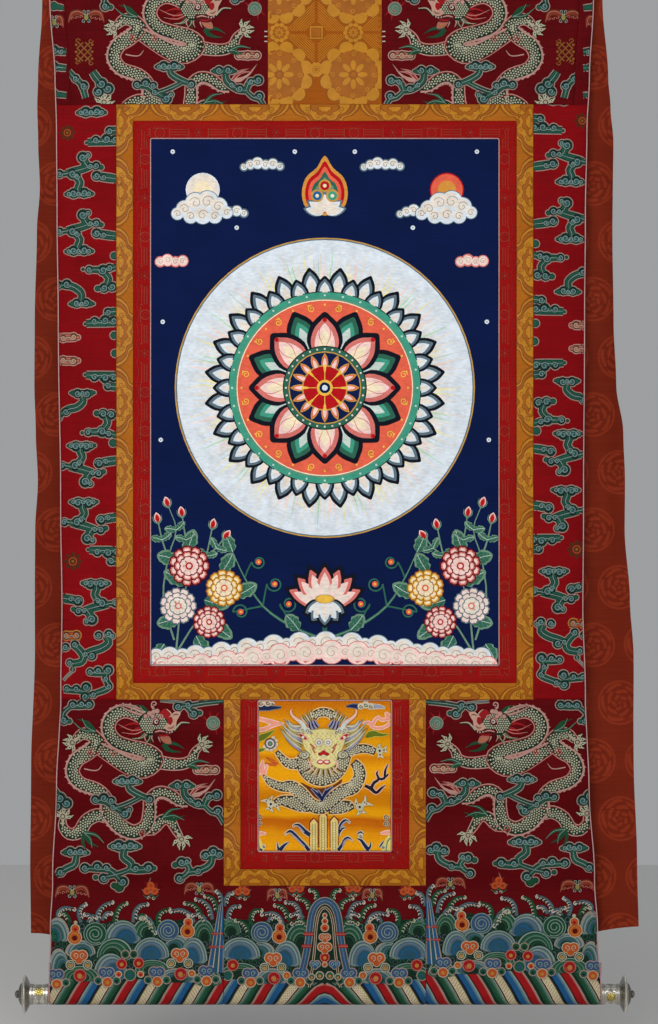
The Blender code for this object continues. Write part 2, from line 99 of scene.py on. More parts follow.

# %% [markdown]
# ## The hang of the cloth
# A scroll that is kept rolled never hangs quite flat: soft level rolls stay in it, deepest near the
# roller, and its sides curl back. Those folds are listed in short tables, and eased between their rows.

# %% How the edges, rolls and cover hang
MOUNT_EDGES = [
    # drop, left, right, curl
    (0.000, 0.3980, 0.3880, 0.000),
    (0.075, 0.3940, 0.3850, 0.003),
    (0.182, 0.3870, 0.3795, 0.008),
    (0.260, 0.3850, 0.3760, 0.011),
    (0.380, 0.3845, 0.3740, 0.014),
    (0.520, 0.3830, 0.3730, 0.016),
    (0.790, 0.3795, 0.3715, 0.017),
    (0.940, 0.3775, 0.3705, 0.016),
    (1.072, 0.3790, 0.3740, 0.012),
    (1.190, 0.3845, 0.3785, 0.007),
    (1.330, 0.3900, 0.3865, 0.002),
    (1.400, 0.3930, 0.3905, 0.000),
    (1.495, 0.3950, 0.3960, 0.000),
]
CURL_STARTS = 0.290
CURL_WIDTH = 0.095
CURL_POWER = 1.6
CURL_REACH = 1.4
ROLLS = [
    # drop, depth: a plus depth lies back, a minus one forward
    (0.012, 0.0000),
    (0.045, -0.0014),
    (0.100, 0.0016),
    (0.155, -0.0012),
    (0.208, 0.0014),
    (0.262, -0.0010),
    (0.340, 0.0008),
    (0.430, -0.0009),
    (0.520, 0.0010),
    (0.620, -0.0008),
    (0.730, 0.0011),
    (0.840, -0.0009),
    (0.940, 0.0011),
    (1.030, -0.0014),
    (1.078, 0.0020),
    (1.108, -0.0026),
    (1.148, 0.0024),
    (1.196, -0.0028),
    (1.246, 0.0024),
    (1.300, -0.0024),
    (1.345, 0.0018),
    (1.385, -0.0012),
    (1.420, 0.0008),
    (1.450, 0.0000),
]
CREASES = [
    # x, drop, half width, half drop, depth: shallow puckers by the seams, under a millimetre deep
    (-0.230, 0.060, 0.090, 0.016, 0.0005),
    (0.190, 0.120, 0.110, 0.014, -0.0005),
    (-0.340, 0.420, 0.050, 0.020, 0.0006),
    (0.335, 0.520, 0.050, 0.022, -0.0006),
    (-0.335, 0.690, 0.055, 0.018, -0.0005),
    (0.340, 0.860, 0.050, 0.020, 0.0006),
    (-0.120, 1.084, 0.120, 0.008, -0.0005),
    (0.260, 1.150, 0.090, 0.014, 0.0006),
    (-0.270, 1.215, 0.090, 0.015, -0.0006),
    (0.040, 1.290, 0.080, 0.012, 0.0005),
    (0.300, 1.330, 0.070, 0.014, -0.0006),
    (-0.180, 1.372, 0.110, 0.013, 0.0005),
]


def ease(share):
    """0 to 1 with a level start and end."""
    share = np.clip(share, 0.0, 1.0)
    return share * share * (3 - 2 * share)


def along_table(rows, at, column):
    """The values of a table's column at some drops, eased between its rows."""
    drops = np.array([row[0] for row in rows])
    values = np.array([row[column] for row in rows])
    at = np.clip(at, drops[0], drops[-1])
    upper = np.clip(np.searchsorted(drops, at, side="right") - 1, 0, len(drops) - 2)
    share = (at - drops[upper]) / (drops[upper + 1] - drops[upper])
    return values[upper] + (values[upper + 1] - values[upper]) * ease(share)


def curl_back(x, drop):
    outward = np.clip((np.abs(x) - CURL_STARTS) / CURL_WIDTH, 0.0, CURL_REACH)
    return along_table(MOUNT_EDGES, drop, 3) * outward**CURL_POWER


def front_depth(x, drop):
    """How far back the hanging front lies at a point: its rolls, its curled sides and its creases."""
    depth = along_table(ROLLS, drop, 1) + curl_back(x, drop)
    for middle, level, half_width, half_drop, fold in CREASES:
        away = ((x - middle) / half_width) ** 2 + ((drop - level) / half_drop) ** 2
        depth = depth + fold * np.exp(-away)
    return depth


def steps(start, end, spacing):
    """Evenly spaced stations from start to end, about that far apart."""
    count = max(1, round((end - start) / spacing))
    return [start + (end - start) * i / count for i in range(count + 1)]


def flap_line():
    """Where the sleeve leaves the roller, lands on the back of the cloth and ends: y and z from the axis."""
    turn = SLEEVE_LEAVES_AT - math.pi
    start = np.array((SLEEVE_RADIUS * math.cos(turn), SLEEVE_RADIUS * math.sin(turn)))
    lands_at = BROCADE + SLEEVE_FLAP_GAP - SLEEVE_RADIUS
    length = (start[0] - lands_at) / math.sin(turn)
    landing = start + np.array((-math.sin(turn), math.cos(turn))) * length
    return start, landing, landing + np.array((0.0, SLEEVE_FLAP)), length


def true_surface(x, drop):
    """The cloth's middle surface and its outward normal at each point."""
    place = np.zeros((len(x), 3))
    normal = np.zeros((len(x), 3))
    place[:, 0] = x
    step = 0.001
    slope_x = (front_depth(x + step, drop) - front_depth(x - step, drop)) / (2 * step)
    slope_z = (front_depth(x, drop - step) - front_depth(x, drop + step)) / (2 * step)
    place[:, 1] = front_depth(x, drop) - HEM_RADIUS
    place[:, 2] = -HEM_TOP + HEM_QUARTER - drop
    normal[:] = np.stack([slope_x, -np.ones(len(x)), slope_z], 1)
    behind = drop < -HEM_QUARTER
    place[behind, 1] = HEM_RADIUS
    place[behind, 2] = -HEM_TOP + drop[behind] + HEM_QUARTER
    normal[behind] = (0, 1, 0)
    over = (drop >= -HEM_QUARTER) & (drop < HEM_QUARTER)
    turn = drop[over] / HEM_RADIUS
    place[over, 1] = -HEM_RADIUS * np.sin(turn)
    place[over, 2] = -HEM_TOP + HEM_RADIUS * np.cos(turn)
    normal[over] = np.stack([0 * turn, -np.sin(turn), np.cos(turn)], 1)
    round_it = (drop > AXIS_DROP) & (drop <= AXIS_DROP + SLEEVE_ARC)
    turn = (drop[round_it] - AXIS_DROP) / SLEEVE_RADIUS
    place[round_it, 1] = ROLLER_Y - SLEEVE_RADIUS * np.cos(turn)
    place[round_it, 2] = AXIS_Z - SLEEVE_RADIUS * np.sin(turn)
    normal[round_it] = np.stack([0 * turn, -np.cos(turn), -np.sin(turn)], 1)
    start, landing, end, slant = flap_line()
    run = drop - AXIS_DROP - SLEEVE_ARC
    falling = (run > 0) & (run < slant - 1e-9)
    share = (run[falling] / slant)[:, None]
    place[falling, 1:] = start + (landing - start) * share + (ROLLER_Y, AXIS_Z)
    normal[falling] = (0, *(start / SLEEVE_RADIUS))
    flat = run >= slant - 1e-9
    share = ((run[flat] - slant) / SLEEVE_FLAP)[:, None]
    place[flat, 1:] = landing + (end - landing) * share + (ROLLER_Y, AXIS_Z)
    normal[flat] = (0, 1, 0)
    return place, normal / np.linalg.norm(normal, axis=1)[:, None]


ROW_SPACING = 0.008
SLEEVE_END = AXIS_DROP + SLEEVE_ARC + flap_line()[3]
CLOTH_ROWS = np.array(
    [-HEM_DEPTH, -HEM_DEPTH / 2]
    + steps(-HEM_QUARTER, HEM_QUARTER, HEM_QUARTER / 4)
    + steps(HEM_QUARTER, AXIS_DROP, ROW_SPACING)[1:]
    + steps(AXIS_DROP, AXIS_DROP + SLEEVE_ARC, SLEEVE_ARC / 16)[1:]
    + [SLEEVE_END, SLEEVE_END + SLEEVE_FLAP]
)


def hang(points):
    """Takes points of the cutting frame to their places. Between two rows of the cloth it goes straight, so
    that a sheet and every motif on it follow the same facets."""
    x, drop, height = points.T
    upper = np.clip(np.searchsorted(CLOTH_ROWS, drop, side="right") - 1, 0, len(CLOTH_ROWS) - 2)
    share = ((drop - CLOTH_ROWS[upper]) / (CLOTH_ROWS[upper + 1] - CLOTH_ROWS[upper]))[:, None]
    place_above, normal_above = true_surface(x, CLOTH_ROWS[upper])
    place_below, normal_below = true_surface(x, CLOTH_ROWS[upper + 1])
    place = place_above + (place_below - place_above) * share
    normal = normal_above + (normal_below - normal_above) * share
    normal /= np.linalg.norm(normal, axis=1)[:, None]
    return place + normal * height[:, None]


# %% [markdown]
# ## From a flat mesh to a hanging piece
# Every cloth and motif ends the same way: its flat places become a UV map named cut, so that weaves
# follow the surface, and its points go through hang. The cutting frame is a mirror image of the world, so
# the faces are turned over once at the end.

# %% Make a piece of a flat mesh


def add_piece(name, mesh, finish):
    piece = bpy.data.objects.new(name, mesh)
    bpy.context.collection.objects.link(piece)
    mesh.materials.clear()
    mesh.materials.append(finish)
    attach(piece, "root")
    return piece


def lay_out(mesh, surface):
    """Stores the flat places as the UV map cut and takes the mesh to its surface."""
    flat = np.empty(len(mesh.vertices) * 3, np.float32)
    mesh.vertices.foreach_get("co", flat)
    flat = flat.reshape(-1, 3)
    corners = np.empty(len(mesh.loops), np.int32)
    mesh.loops.foreach_get("vertex_index", corners)
    cut = mesh.uv_layers.new(name="cut")
    uv = flat[corners][:, :2] * (1, -1)
    cut.data.foreach_set("uv", uv.astype(np.float32).ravel())
    hung = surface(flat.astype(float))
    mesh.vertices.foreach_set("co", hung.astype(np.float32).ravel())
    mesh.flip_normals()
    mesh.update()
    return mesh


# %% [markdown]
# ## Finishes
# Silk brocade gets its life from three things: a weave that scatters light, slubs that streak the colour
# along the weft, and a soft lustre in the silk's own colour. One function makes that ground for any
# colour. Woven and painted motifs share a second finish, which reads each face's own colour from an
# attribute named thread.

# %% A material whose pattern is written as a formula
def srgb(red, green, blue):
    """A screen colour, 0 to 255, as the linear colour that shaders use."""
    screen = np.array([red, green, blue]) / 255
    linear = np.where(screen <= 0.04045, screen / 12.92, ((screen + 0.055) / 1.055) ** 2.4)
    return (*linear.tolist(), 1.0)


def connect(tree, value, socket):
    if isinstance(value, Tone):
        tree.links.new(value.socket, socket)
    else:
        socket.default_value = value


class Tone:
    """A socket that can be added and multiplied like a number, so that a pattern reads as its formula."""

    def __init__(self, tree, socket):
        self.tree, self.socket = tree, socket

    def calc(self, operation, other=0.0, turned=False):
        made = self.tree.nodes.new("ShaderNodeMath")
        made.operation = operation
        for value, socket in zip((other, self) if turned else (self, other), made.inputs):
            connect(self.tree, value, socket)
        return Tone(self.tree, made.outputs[0])

    def __add__(self, other):
        return self.calc("ADD", other)

    def __mul__(self, other):
        return self.calc("MULTIPLY", other)

    def __rsub__(self, other):
        return self.calc("SUBTRACT", other, turned=True)


class Finish:
    """A material, with short calls that add nodes to it. cut is the map of the flat cloth."""

    def __init__(self, name, roughness, metallic=0.0, gloss=0.25):
        self.made = bpy.data.materials.new(name)
        self.made.use_nodes = True
        self.tree = self.made.node_tree
        self.cut = self.node("UVMap", uv_map="cut")
        self.set("Roughness", roughness)
        self.set("Metallic", metallic)
        self.set("Specular IOR Level", gloss)

    def set(self, name, value):
        """Sets a socket of the surface to a value or to a pattern."""
        connect(self.tree, value, self.tree.nodes["Principled BSDF"].inputs[name])

    def node(self, kind, output=0, **inputs):
        """Adds a node. The name of a socket takes a value or a pattern, and any other name is a setting."""
        made = self.tree.nodes.new("ShaderNode" + kind)
        for name, value in inputs.items():
            if name not in made.inputs:
                setattr(made, name, value)
        for name, value in inputs.items():
            if name in made.inputs:
                connect(self.tree, value, made.inputs[name])
        return Tone(self.tree, made.outputs[output])

    def axes(self, vector):
        """The x and the y of a vector."""
        parts = self.tree.nodes.new("ShaderNodeSeparateXYZ")
        connect(self.tree, vector, parts.inputs[0])
        return Tone(self.tree, parts.outputs[0]), Tone(self.tree, parts.outputs[1])

    def between(self, value, start, end, low=0.0, high=1.0):
        limits = {"From Min": start, "From Max": end, "To Min": low, "To Max": high}
        return self.node("MapRange", Value=value, **limits)

    def stretched(self, source, scale, turn=0.0):
        """Coordinates scaled and turned, for streaks and slanted threads."""
        return self.node("Mapping", Vector=source, Scale=scale, Rotation=(0, 0, turn))

    def colour(self, share, first, second, blend="MIX"):
        """Colours the surface with a mix of two colours."""
        made = self.tree.nodes.new("ShaderNodeMix")
        made.data_type, made.blend_type = "RGBA", blend
        for value, socket in zip((share, first, second), (made.inputs[0], made.inputs[6], made.inputs[7])):
            connect(self.tree, value, socket)
        self.set("Base Color", Tone(self.tree, made.outputs[2]))

    def bump(self, height, strength, distance):
        self.set("Normal", self.node("Bump", Height=height, Strength=strength, Distance=distance))


# %% Silk grounds, motif threads and paint
WEAVE_PITCH = 0.0007
DAMASK_CELLS = 38.0
BAND_WANDER = 0.012


def woven_silk(name, shade, light, roughness, lustre, slants=0.0, medallions=None, bands=()):
    """A silk ground between two colours. lustre is the share of light thrown back in the silk's own colour;
    slants is the spacing of slanting damask lines; medallions holds the repeat and the radius of round ones;
    bands is painted light and shade of soft level folds: it lists where, down the cloth, stripes turn from
    one colour (0) to the other (1)."""
    silk = Finish(name, roughness, lustre, gloss=0.06)
    slubs = silk.node("TexNoise", Vector=silk.stretched(silk.cut, (14, 420, 1)), Scale=1.0, Detail=3.0)
    clouding = silk.node("TexNoise", Vector=silk.cut, Scale=16.0, Detail=2.0)
    share = slubs * 0.55 + clouding * 0.5
    if slants:
        share = share * 0.72 + slanted_lines(silk, slants) * 0.34
    if medallions:
        share = share * 0.75 + round_medallions(silk, *medallions) * 0.45
    if bands:
        share = share * 0.35 + painted_fold_light_and_shade(silk, clouding, bands)
    silk.colour(share, shade, light)
    warp, weft = [
        silk.node("TexWave", Vector=silk.cut, Scale=0.5 / WEAVE_PITCH, bands_direction=way, Distortion=0.3)
        for way in "XY"
    ]
    silk.bump(warp + weft + slubs * 1.5, 0.35, 0.0002)
    return silk.made


def painted_fold_light_and_shade(silk, wander, bands):
    """Painted light and shade of soft level folds, as stripes across the cloth: each of bands is a drop and a
    tone. Where they change wanders a little.
    """
    drop = (wander * BAND_WANDER).calc("SUBTRACT", silk.axes(silk.cut)[1])
    start, end = bands[0][0], bands[-1][0]
    ramp = silk.tree.nodes.new("ShaderNodeValToRGB")
    connect(silk.tree, silk.between(drop, start, end), ramp.inputs[0])
    stops = ramp.color_ramp.elements
    for place, tone in bands[1:-1]:
        stops.new((place - start) / (end - start)).color = (tone, tone, tone, 1)
    for stop, (_, tone) in ((stops[0], bands[0]), (stops[-1], bands[-1])):
        stop.color = (tone, tone, tone, 1)
    return Tone(silk.tree, ramp.outputs[0]) * 0.8


def slanted_lines(silk, spacing):
    """Fine lines on the slant, which turn the other way in a chequer of broad cells, as damask grounds do."""
    turned = [silk.stretched(silk.cut, (1, 1, 1), math.radians(turn)) for turn in (45, -45)]
    up, down = [silk.node("TexWave", Vector=place, Scale=0.31 / spacing) for place in turned]
    cells = silk.node("TexChecker", 1, Scale=DAMASK_CELLS, Vector=silk.cut)
    return cells * down + (1.0 - cells) * up


def round_medallions(silk, pitch, radius):
    """1 on the scrolls of round medallions in a half-drop repeat, and 0 on the ground."""
    found = None
    reach_x, reach_y = pitch[0] / 2, pitch[1] / 2
    for shift in ((0.0, 0.0, 0.0), (reach_x, reach_y, 0.0)):
        wrap = silk.tree.nodes.new("ShaderNodeVectorMath")
        wrap.operation = "WRAP"
        moved = silk.node("Mapping", Vector=silk.cut, Location=shift)
        for value, socket in zip((moved, (reach_x, reach_y, 1), (-reach_x, -reach_y, -1)), wrap.inputs):
            connect(silk.tree, value, socket)
        x, y = silk.axes(Tone(silk.tree, wrap.outputs[0]))
        share = (x * x + y * y).calc("SQRT").calc("DIVIDE", radius)
        swirl = (y.calc("ARCTAN2", x) * 5.0 + share * 14.0).calc("SINE")
        scroll = (swirl + (share * 25.0).calc("COSINE")).calc("GREATER_THAN", 0.1)
        rim = silk.between(share, 0.86, 0.90)
        one = silk.between(share, 1.0, 0.94) * scroll.calc("MAXIMUM", rim)
        found = one if found is None else found.calc("MAXIMUM", one)
    return found


def coloured_by_face(name, roughness, gloss, grain, strength, dye=1.0):
    """A finish whose colour is each face's own, broken up by a grain of that many metres. Below 1, dye makes
    all its colours deeper."""
    threads = Finish(name, roughness, gloss=gloss)
    fine = threads.node(
        "TexNoise", Vector=threads.stretched(threads.cut, (1, 2.5, 1)), Scale=0.4 / grain, Detail=2.0
    )
    broad = threads.node("TexNoise", Vector=threads.cut, Scale=60.0, Detail=1.0)
    tone = fine * (0.5 * dye) + broad * (0.4 * dye) + 0.55 * dye
    tint = threads.node("CombineColor", Red=tone, Green=tone, Blue=tone)
    threads.colour(1.0, threads.node("Attribute", attribute_name="thread"), tint, "MULTIPLY")
    threads.bump(fine, strength, 0.0003)
    return threads.made


red_silk = woven_silk("crimson brocade", srgb(76, 2, 6), srgb(138, 5, 13), 0.45, 0.35)
# The head and foot widths take a darker copy of the same crimson brocade: painted shade, as less light
# reaches the head and foot.
red_silk_painted_shade = woven_silk("crimson brocade with painted shade", srgb(46, 0, 4), srgb(98, 3, 9), 0.45, 0.35)
gold_silk = woven_silk("gold damask", srgb(112, 48, 4), srgb(178, 110, 30), 0.45, 0.3, slants=0.0020)
head_gold_silk = woven_silk("head damask", srgb(108, 44, 4), srgb(158, 86, 18), 0.45, 0.3, slants=0.0020)
border_silk = woven_silk("red border silk", srgb(104, 4, 4), srgb(156, 14, 10), 0.55, 0.2)
DOOR_FOLD_LIGHT_AND_SHADE = [
    # drop, tone: yellow is 1 and orange 0; yellow is painted light and orange painted shade of soft folds
    (1.071, 1.0), (1.078, 0.1), (1.085, 0.15), (1.095, 0.35), (1.107, 0.6), (1.123, 0.5), (1.137, 0.9),
    (1.153, 0.95), (1.160, 0.35), (1.168, 0.6), (1.176, 0.9), (1.194, 0.9), (1.211, 0.35), (1.226, 0.45),
    (1.236, 0.95), (1.243, 0.9), (1.250, 0.0), (1.258, 0.1), (1.270, 0.6), (1.284, 0.8),
]
# The door's silk has the light and shade of its soft folds painted into its colour, as bands of yellow and
# orange.
yellow_silk = woven_silk("yellow brocade", srgb(158, 58, 2), srgb(218, 152, 6), 0.40, 0.3, bands=DOOR_FOLD_LIGHT_AND_SHADE)
cover_silk = woven_silk(
    "russet silk", srgb(78, 14, 4), srgb(124, 42, 20), 0.45, 0.3, medallions=((0.0772, 0.1659), 0.033)
)
cotton = woven_silk("painted cotton", srgb(3, 14, 46), srgb(9, 26, 74), 0.80, 0.0)
threads_finish = coloured_by_face("motif threads", 0.60, 0.10, 0.0012, 0.5, dye=0.50)
court_finish = coloured_by_face("court silk threads", 0.55, 0.10, 0.0012, 0.5, dye=0.80)
damask_finish = coloured_by_face("damask threads", 0.45, 0.10, 0.0012, 0.5, dye=0.60)
paint_finish = coloured_by_face("mineral paint", 0.72, 0.06, 0.0030, 0.2, dye=0.85)
cord_finish = coloured_by_face("piping cord", 0.70, 0.10, 0.0010, 0.8, dye=0.6)

# %% [markdown]
# ## Camera, floor and light
# The scroll is seen square on from 4.5 m away, so that its sides stay parallel. Light falls from large
# soft panels near its middle, which leaves the head and the foot a little darker, as silk looks in a
# shaded room.

# %% Set the stage
CAMERA_DISTANCE = 4.5
CAMERA_X = 0.006
CAMERA_Z = -0.804
VIEW_HEIGHT = 1.464
SENSOR = 36.0
FLOOR_Z = -1.60


def add_camera():
    camera = bpy.data.cameras.new("camera")
    camera.sensor_width = SENSOR
    camera.lens = SENSOR * CAMERA_DISTANCE / VIEW_HEIGHT
    placed = bpy.data.objects.new("camera", camera)
    placed.location = (CAMERA_X, -CAMERA_DISTANCE, CAMERA_Z)
    placed.rotation_euler = (math.radians(90), 0, 0)
    bpy.context.collection.objects.link(placed)
    bpy.context.scene.camera = placed


def add_light(name, place, aim, size, power, colour=(1, 1, 1)):
    lamp = bpy.data.lights.new(name, "AREA")
    lamp.shape = "RECTANGLE"
    lamp.size, lamp.size_y = size
    lamp.energy = power
    lamp.color = colour
    placed = bpy.data.objects.new(name, lamp)
    placed.location = place
    placed.rotation_euler = (Vector(aim) - Vector(place)).to_track_quat("-Z", "Y").to_euler()
    bpy.context.collection.objects.link(placed)


def add_floor():
    small = bmesh.new()
    bmesh.ops.create_grid(small, x_segments=1, y_segments=1, size=2.0)
    bmesh.ops.translate(small, verts=small.verts, vec=(0, 0.6, FLOOR_Z))
    mesh = bpy.data.meshes.new("floor")
    small.to_mesh(mesh)
    small.free()
    floor = bpy.data.objects.new("floor", mesh)
    bpy.context.collection.objects.link(floor)
    pale = bpy.data.materials.new("pale floor")
    pale.use_nodes = True
    shader = pale.node_tree.nodes["Principled BSDF"]
    shader.inputs["Base Color"].default_value = (0.78, 0.77, 0.75, 1)
    shader.inputs["Roughness"].default_value = 0.8
    mesh.materials.append(pale)


add_camera()
add_floor()
add_light("soft front light", (-0.5, -2.2, -0.40), (0, 0, -0.70), (1.6, 1.0), 38, (1.0, 0.97, 0.93))
add_light("right fill", (1.9, -1.6, -0.6), (0, 0, -0.8), (1.0, 1.4), 9)
add_light("top light", (-0.3, -0.9, 0.9), (0, 0, -0.4), (1.2, 0.5), 5)
bpy.context.scene.view_settings.view_transform = "Standard"
world = bpy.data.worlds.new("pale room")
bpy.context.scene.world = world
world.use_nodes = True
world.node_tree.nodes["Background"].inputs["Color"].default_value = (0.80, 0.82, 0.84, 1)
world.node_tree.nodes["Background"].inputs["Strength"].default_value = 0.42
print("camera", round(SENSOR * CAMERA_DISTANCE / VIEW_HEIGHT, 1), "mm lens")

# %% [markdown]
# ## Sheets
# Each width of cloth is a thin slab. Its face dips towards its seams, because the turnings pull it in
# there, and that is what makes a sewn mount look sewn. Each has close grid lines by its seams for that
# dip, and a line at every row of the hanging cloth. Mitred ends are cut with a slanting plane, as a maker
# cuts them.

# %% A width of cloth
SEAM_DIP = 0.0006
SEAM_SOFTNESS = 0.0016
NEAR_SEAM = (0.0, 0.0005, 0.0013, 0.0028, 0.0055)
COLUMN_SPACING = 0.010
LINES_APART = 0.0003


def as_function(value):
    return value if callable(value) else lambda drop: value + 0 * drop


def all_of(small):
    return small.verts[:] + small.edges[:] + small.faces[:]


def slice_at(small, point, normal, clear=False):
    """Cuts a mesh along a plane, and with clear throws away the side that the normal points from."""
    bmesh.ops.bisect_plane(
        small, geom=all_of(small), plane_co=(*point, 0.0), plane_no=(*normal, 0.0), clear_inner=clear
    )


class Panel:
    """One cut of cloth. left and right are each an x or a function of the drop. A mitre is a point of the
    flat cloth with the direction from it into the cloth."""

    def __init__(self, left, right, top, foot, cloth=BROCADE, rise=0.0, mitres=()):
        self.left, self.right = as_function(left), as_function(right)
        self.top, self.foot = top, foot
        self.cloth, self.rise = cloth, rise
        self.mitres = [(point, np.array(keep) / np.linalg.norm(keep)) for point, keep in mitres]

    def inward(self, x, drop):
        """How far points lie from the nearest edge."""
        ways = [x - self.left(drop), self.right(drop) - x, drop - self.top, self.foot - drop]
        for (corner_x, corner_drop), (keep_x, keep_drop) in self.mitres:
            ways.append((x - corner_x) * keep_x + (drop - corner_drop) * keep_drop)
        return np.maximum(np.min(ways, axis=0), 0.0)

    def height(self, x, drop):
        """The height of its face."""
        return self.cloth / 2 + self.rise - SEAM_DIP * np.exp(-self.inward(x, drop) / SEAM_SOFTNESS)

    def rows(self):
        seam_lines = [self.top + near for near in NEAR_SEAM] + [self.foot - near for near in NEAR_SEAM]
        inside = [
            row
            for row in CLOTH_ROWS
            if self.top < row < self.foot and min(abs(row - line) for line in seam_lines) > LINES_APART
        ]
        return sorted(seam_lines + inside)

    def shares(self):
        width = float(self.right(self.top) - self.left(self.top))
        inner = steps(NEAR_SEAM[-1], width - NEAR_SEAM[-1], COLUMN_SPACING)
        lines = list(NEAR_SEAM[:-1]) + inner + [width - near for near in reversed(NEAR_SEAM[:-1])]
        return [line / width for line in lines]

    def size(self):
        """Its flat width and length, and its share of that rectangle."""
        drops = np.linspace(self.top, self.foot, 200)
        widths = self.right(drops) - self.left(drops)
        area = float(widths.mean()) * (self.foot - self.top)
        for _, keep in self.mitres:
            area -= 0.5 * min(BORDER_WIDTH, float(widths.max())) ** 2
        return float(widths.max()), self.foot - self.top, area


def set_heights(panel, verts):
    """Lifts points of a flat mesh to the panel's face, above whatever height they have."""
    flat = np.array([vert.co[:] for vert in verts])
    heights = panel.height(flat[:, 0], flat[:, 1])
    for vert, height in zip(verts, heights):
        vert.co.z += height


def flat_grid(columns, rows):
    """A grid of points at the given columns, which are shares from 0 to 1, and rows."""
    small = bmesh.new()
    bmesh.ops.create_grid(small, x_segments=len(columns) - 1, y_segments=len(rows) - 1, size=0.5)
    for vert in small.verts:
        column = columns[round((vert.co.x + 0.5) * (len(columns) - 1))]
        vert.co = (column, rows[round((vert.co.y + 0.5) * (len(rows) - 1))], 0.0)
    return small


def thicken(small, low):
    """Closes a flat mesh to a slab whose other side is level at low."""
    raised = bmesh.ops.extrude_face_region(small, geom=small.faces[:])["geom"]
    for vert in raised:
        if isinstance(vert, bmesh.types.BMVert):
            vert.co.z = low
    small.normal_update()
    bmesh.ops.recalc_face_normals(small, faces=small.faces[:])


def to_mesh(name, small):
    mesh = bpy.data.meshes.new(name)
    small.to_mesh(mesh)
    small.free()
    return mesh


def lay_sheet(name, panel, finish, slot, rests_on, *nodes):
    """Cuts a panel, hangs it and puts it in the place of its nodes."""
    rows = panel.rows()
    small = flat_grid(panel.shares(), rows)
    for vert in small.verts:
        share, drop, _ = vert.co
        side = float(panel.left(drop))
        vert.co.x = side + (float(panel.right(drop)) - side) * share
    for point, keep in panel.mitres:
        slice_at(small, point, keep, clear=True)
        for near in NEAR_SEAM[1:]:
            slice_at(small, np.array(point) + keep * near, keep)
    set_heights(panel, small.verts)
    thicken(small, -panel.cloth / 2)
    mesh = lay_out(to_mesh(name, small), hang)
    mesh.shade_smooth()
    mesh.set_sharp_from_angle(angle=math.radians(50))
    piece = add_piece(name, mesh, finish)
    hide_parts(*(nodes or (name.removesuffix("_sheet"),)))
    width, length, area = panel.size()
    print(f"{name}: {width * 1000:.0f} x {length * 1000:.0f} mm flat, {len(mesh.polygons)} faces")


# %% [markdown]
# ## The widths of the mount
# A maker sews the painting into its red and gold frames first, then the red brocade at its sides, then
# the head above and the foot with its door below. The same few sizes place every cut.

# %% Where each edge of the mount runs


def left_edge(drop):
    return -along_table(MOUNT_EDGES, drop, 1)


def right_edge(drop):
    return along_table(MOUNT_EDGES, drop, 2)


def inside_left(drop):
    return left_edge(drop) + PIPING_WIDTH + SEAM_GAP


def inside_right(drop):
    return right_edge(drop) - PIPING_WIDTH - SEAM_GAP


half_gap = SEAM_GAP / 2
head_half = HEAD_CENTRE_WIDTH / 2
head_top = -HEM_DEPTH
head_foot = HEAD_DROP - half_gap
inset = HEAD_STRIP_WIDTH + half_gap
panels = {
    "head_centre": Panel(-head_half + half_gap, head_half - half_gap, head_top, head_foot),
    "head_left": Panel(lambda d: left_edge(d) + inset, -head_half - half_gap, head_top, head_foot),
    "head_right": Panel(head_half + half_gap, lambda d: right_edge(d) - inset, head_top, head_foot),
    "head_strip_left": Panel(inside_left, lambda d: left_edge(d) + inset - SEAM_GAP, head_top, head_foot),
    "head_strip_right": Panel(lambda d: right_edge(d) - inset + SEAM_GAP, inside_right, head_top, head_foot),
    "side_left": Panel(inside_left, -FRAME_HALF - half_gap, HEAD_DROP + half_gap, FRAME_FOOT - half_gap),
    "side_right": Panel(FRAME_HALF + half_gap, inside_right, HEAD_DROP + half_gap, FRAME_FOOT - half_gap),
    "foot_left": Panel(
        inside_left, -DOOR_FRAME_HALF - half_gap, FRAME_FOOT + half_gap, SLEEVE_END + SLEEVE_FLAP
    ),
    "foot_right": Panel(
        DOOR_FRAME_HALF + half_gap, inside_right, FRAME_FOOT + half_gap, SLEEVE_END + SLEEVE_FLAP
    ),
    "foot_centre": Panel(
        -DOOR_FRAME_HALF + half_gap,
        DOOR_FRAME_HALF - half_gap,
        DOOR_FRAME_FOOT + half_gap,
        SLEEVE_END + SLEEVE_FLAP,
    ),
}


def picture_panel(half, top, foot):
    margin = PIPING_WIDTH + 1.5 * SEAM_GAP
    return Panel(-half + margin, half - margin, top + margin, foot - margin, cloth=CANVAS)


panels["painting"] = picture_panel(PAINTING_WIDTH / 2, PAINTING_TOP, PAINTING_FOOT)
panels["door"] = picture_panel(DOOR_WIDTH / 2, FRAME_FOOT, DOOR_FOOT)


def add_border(prefix, inner, top, foot, rise, open_top=False):
    """Mitred strips round an opening whose half width, top and foot are given."""
    outer, outer_top, outer_foot = inner + BORDER_WIDTH, top - BORDER_WIDTH, foot + BORDER_WIDTH
    near, far = inner + half_gap, outer - half_gap
    for side, sign in (("left", -1), ("right", 1)):
        mitres = [((sign * outer, outer_foot), (sign, -1))]
        start = top + half_gap
        if not open_top:
            mitres.append(((sign * outer, outer_top), (sign, 1)))
            start = outer_top + half_gap
        low, high = sorted((sign * near, sign * far))
        panels[f"{prefix}_{side}"] = Panel(low, high, start, outer_foot - half_gap, BROCADE, rise, mitres)
    foot_mitres = [((sign * outer, outer_foot), (-sign, 1)) for sign in (-1, 1)]
    panels[f"{prefix}_foot"] = Panel(
        -far, far, foot + half_gap, outer_foot - half_gap, BROCADE, rise, foot_mitres
    )
    if not open_top:
        top_mitres = [((sign * outer, outer_top), (-sign, -1)) for sign in (-1, 1)]
        panels[f"{prefix}_top"] = Panel(
            -far, far, outer_top + half_gap, top - half_gap, BROCADE, rise, top_mitres
        )


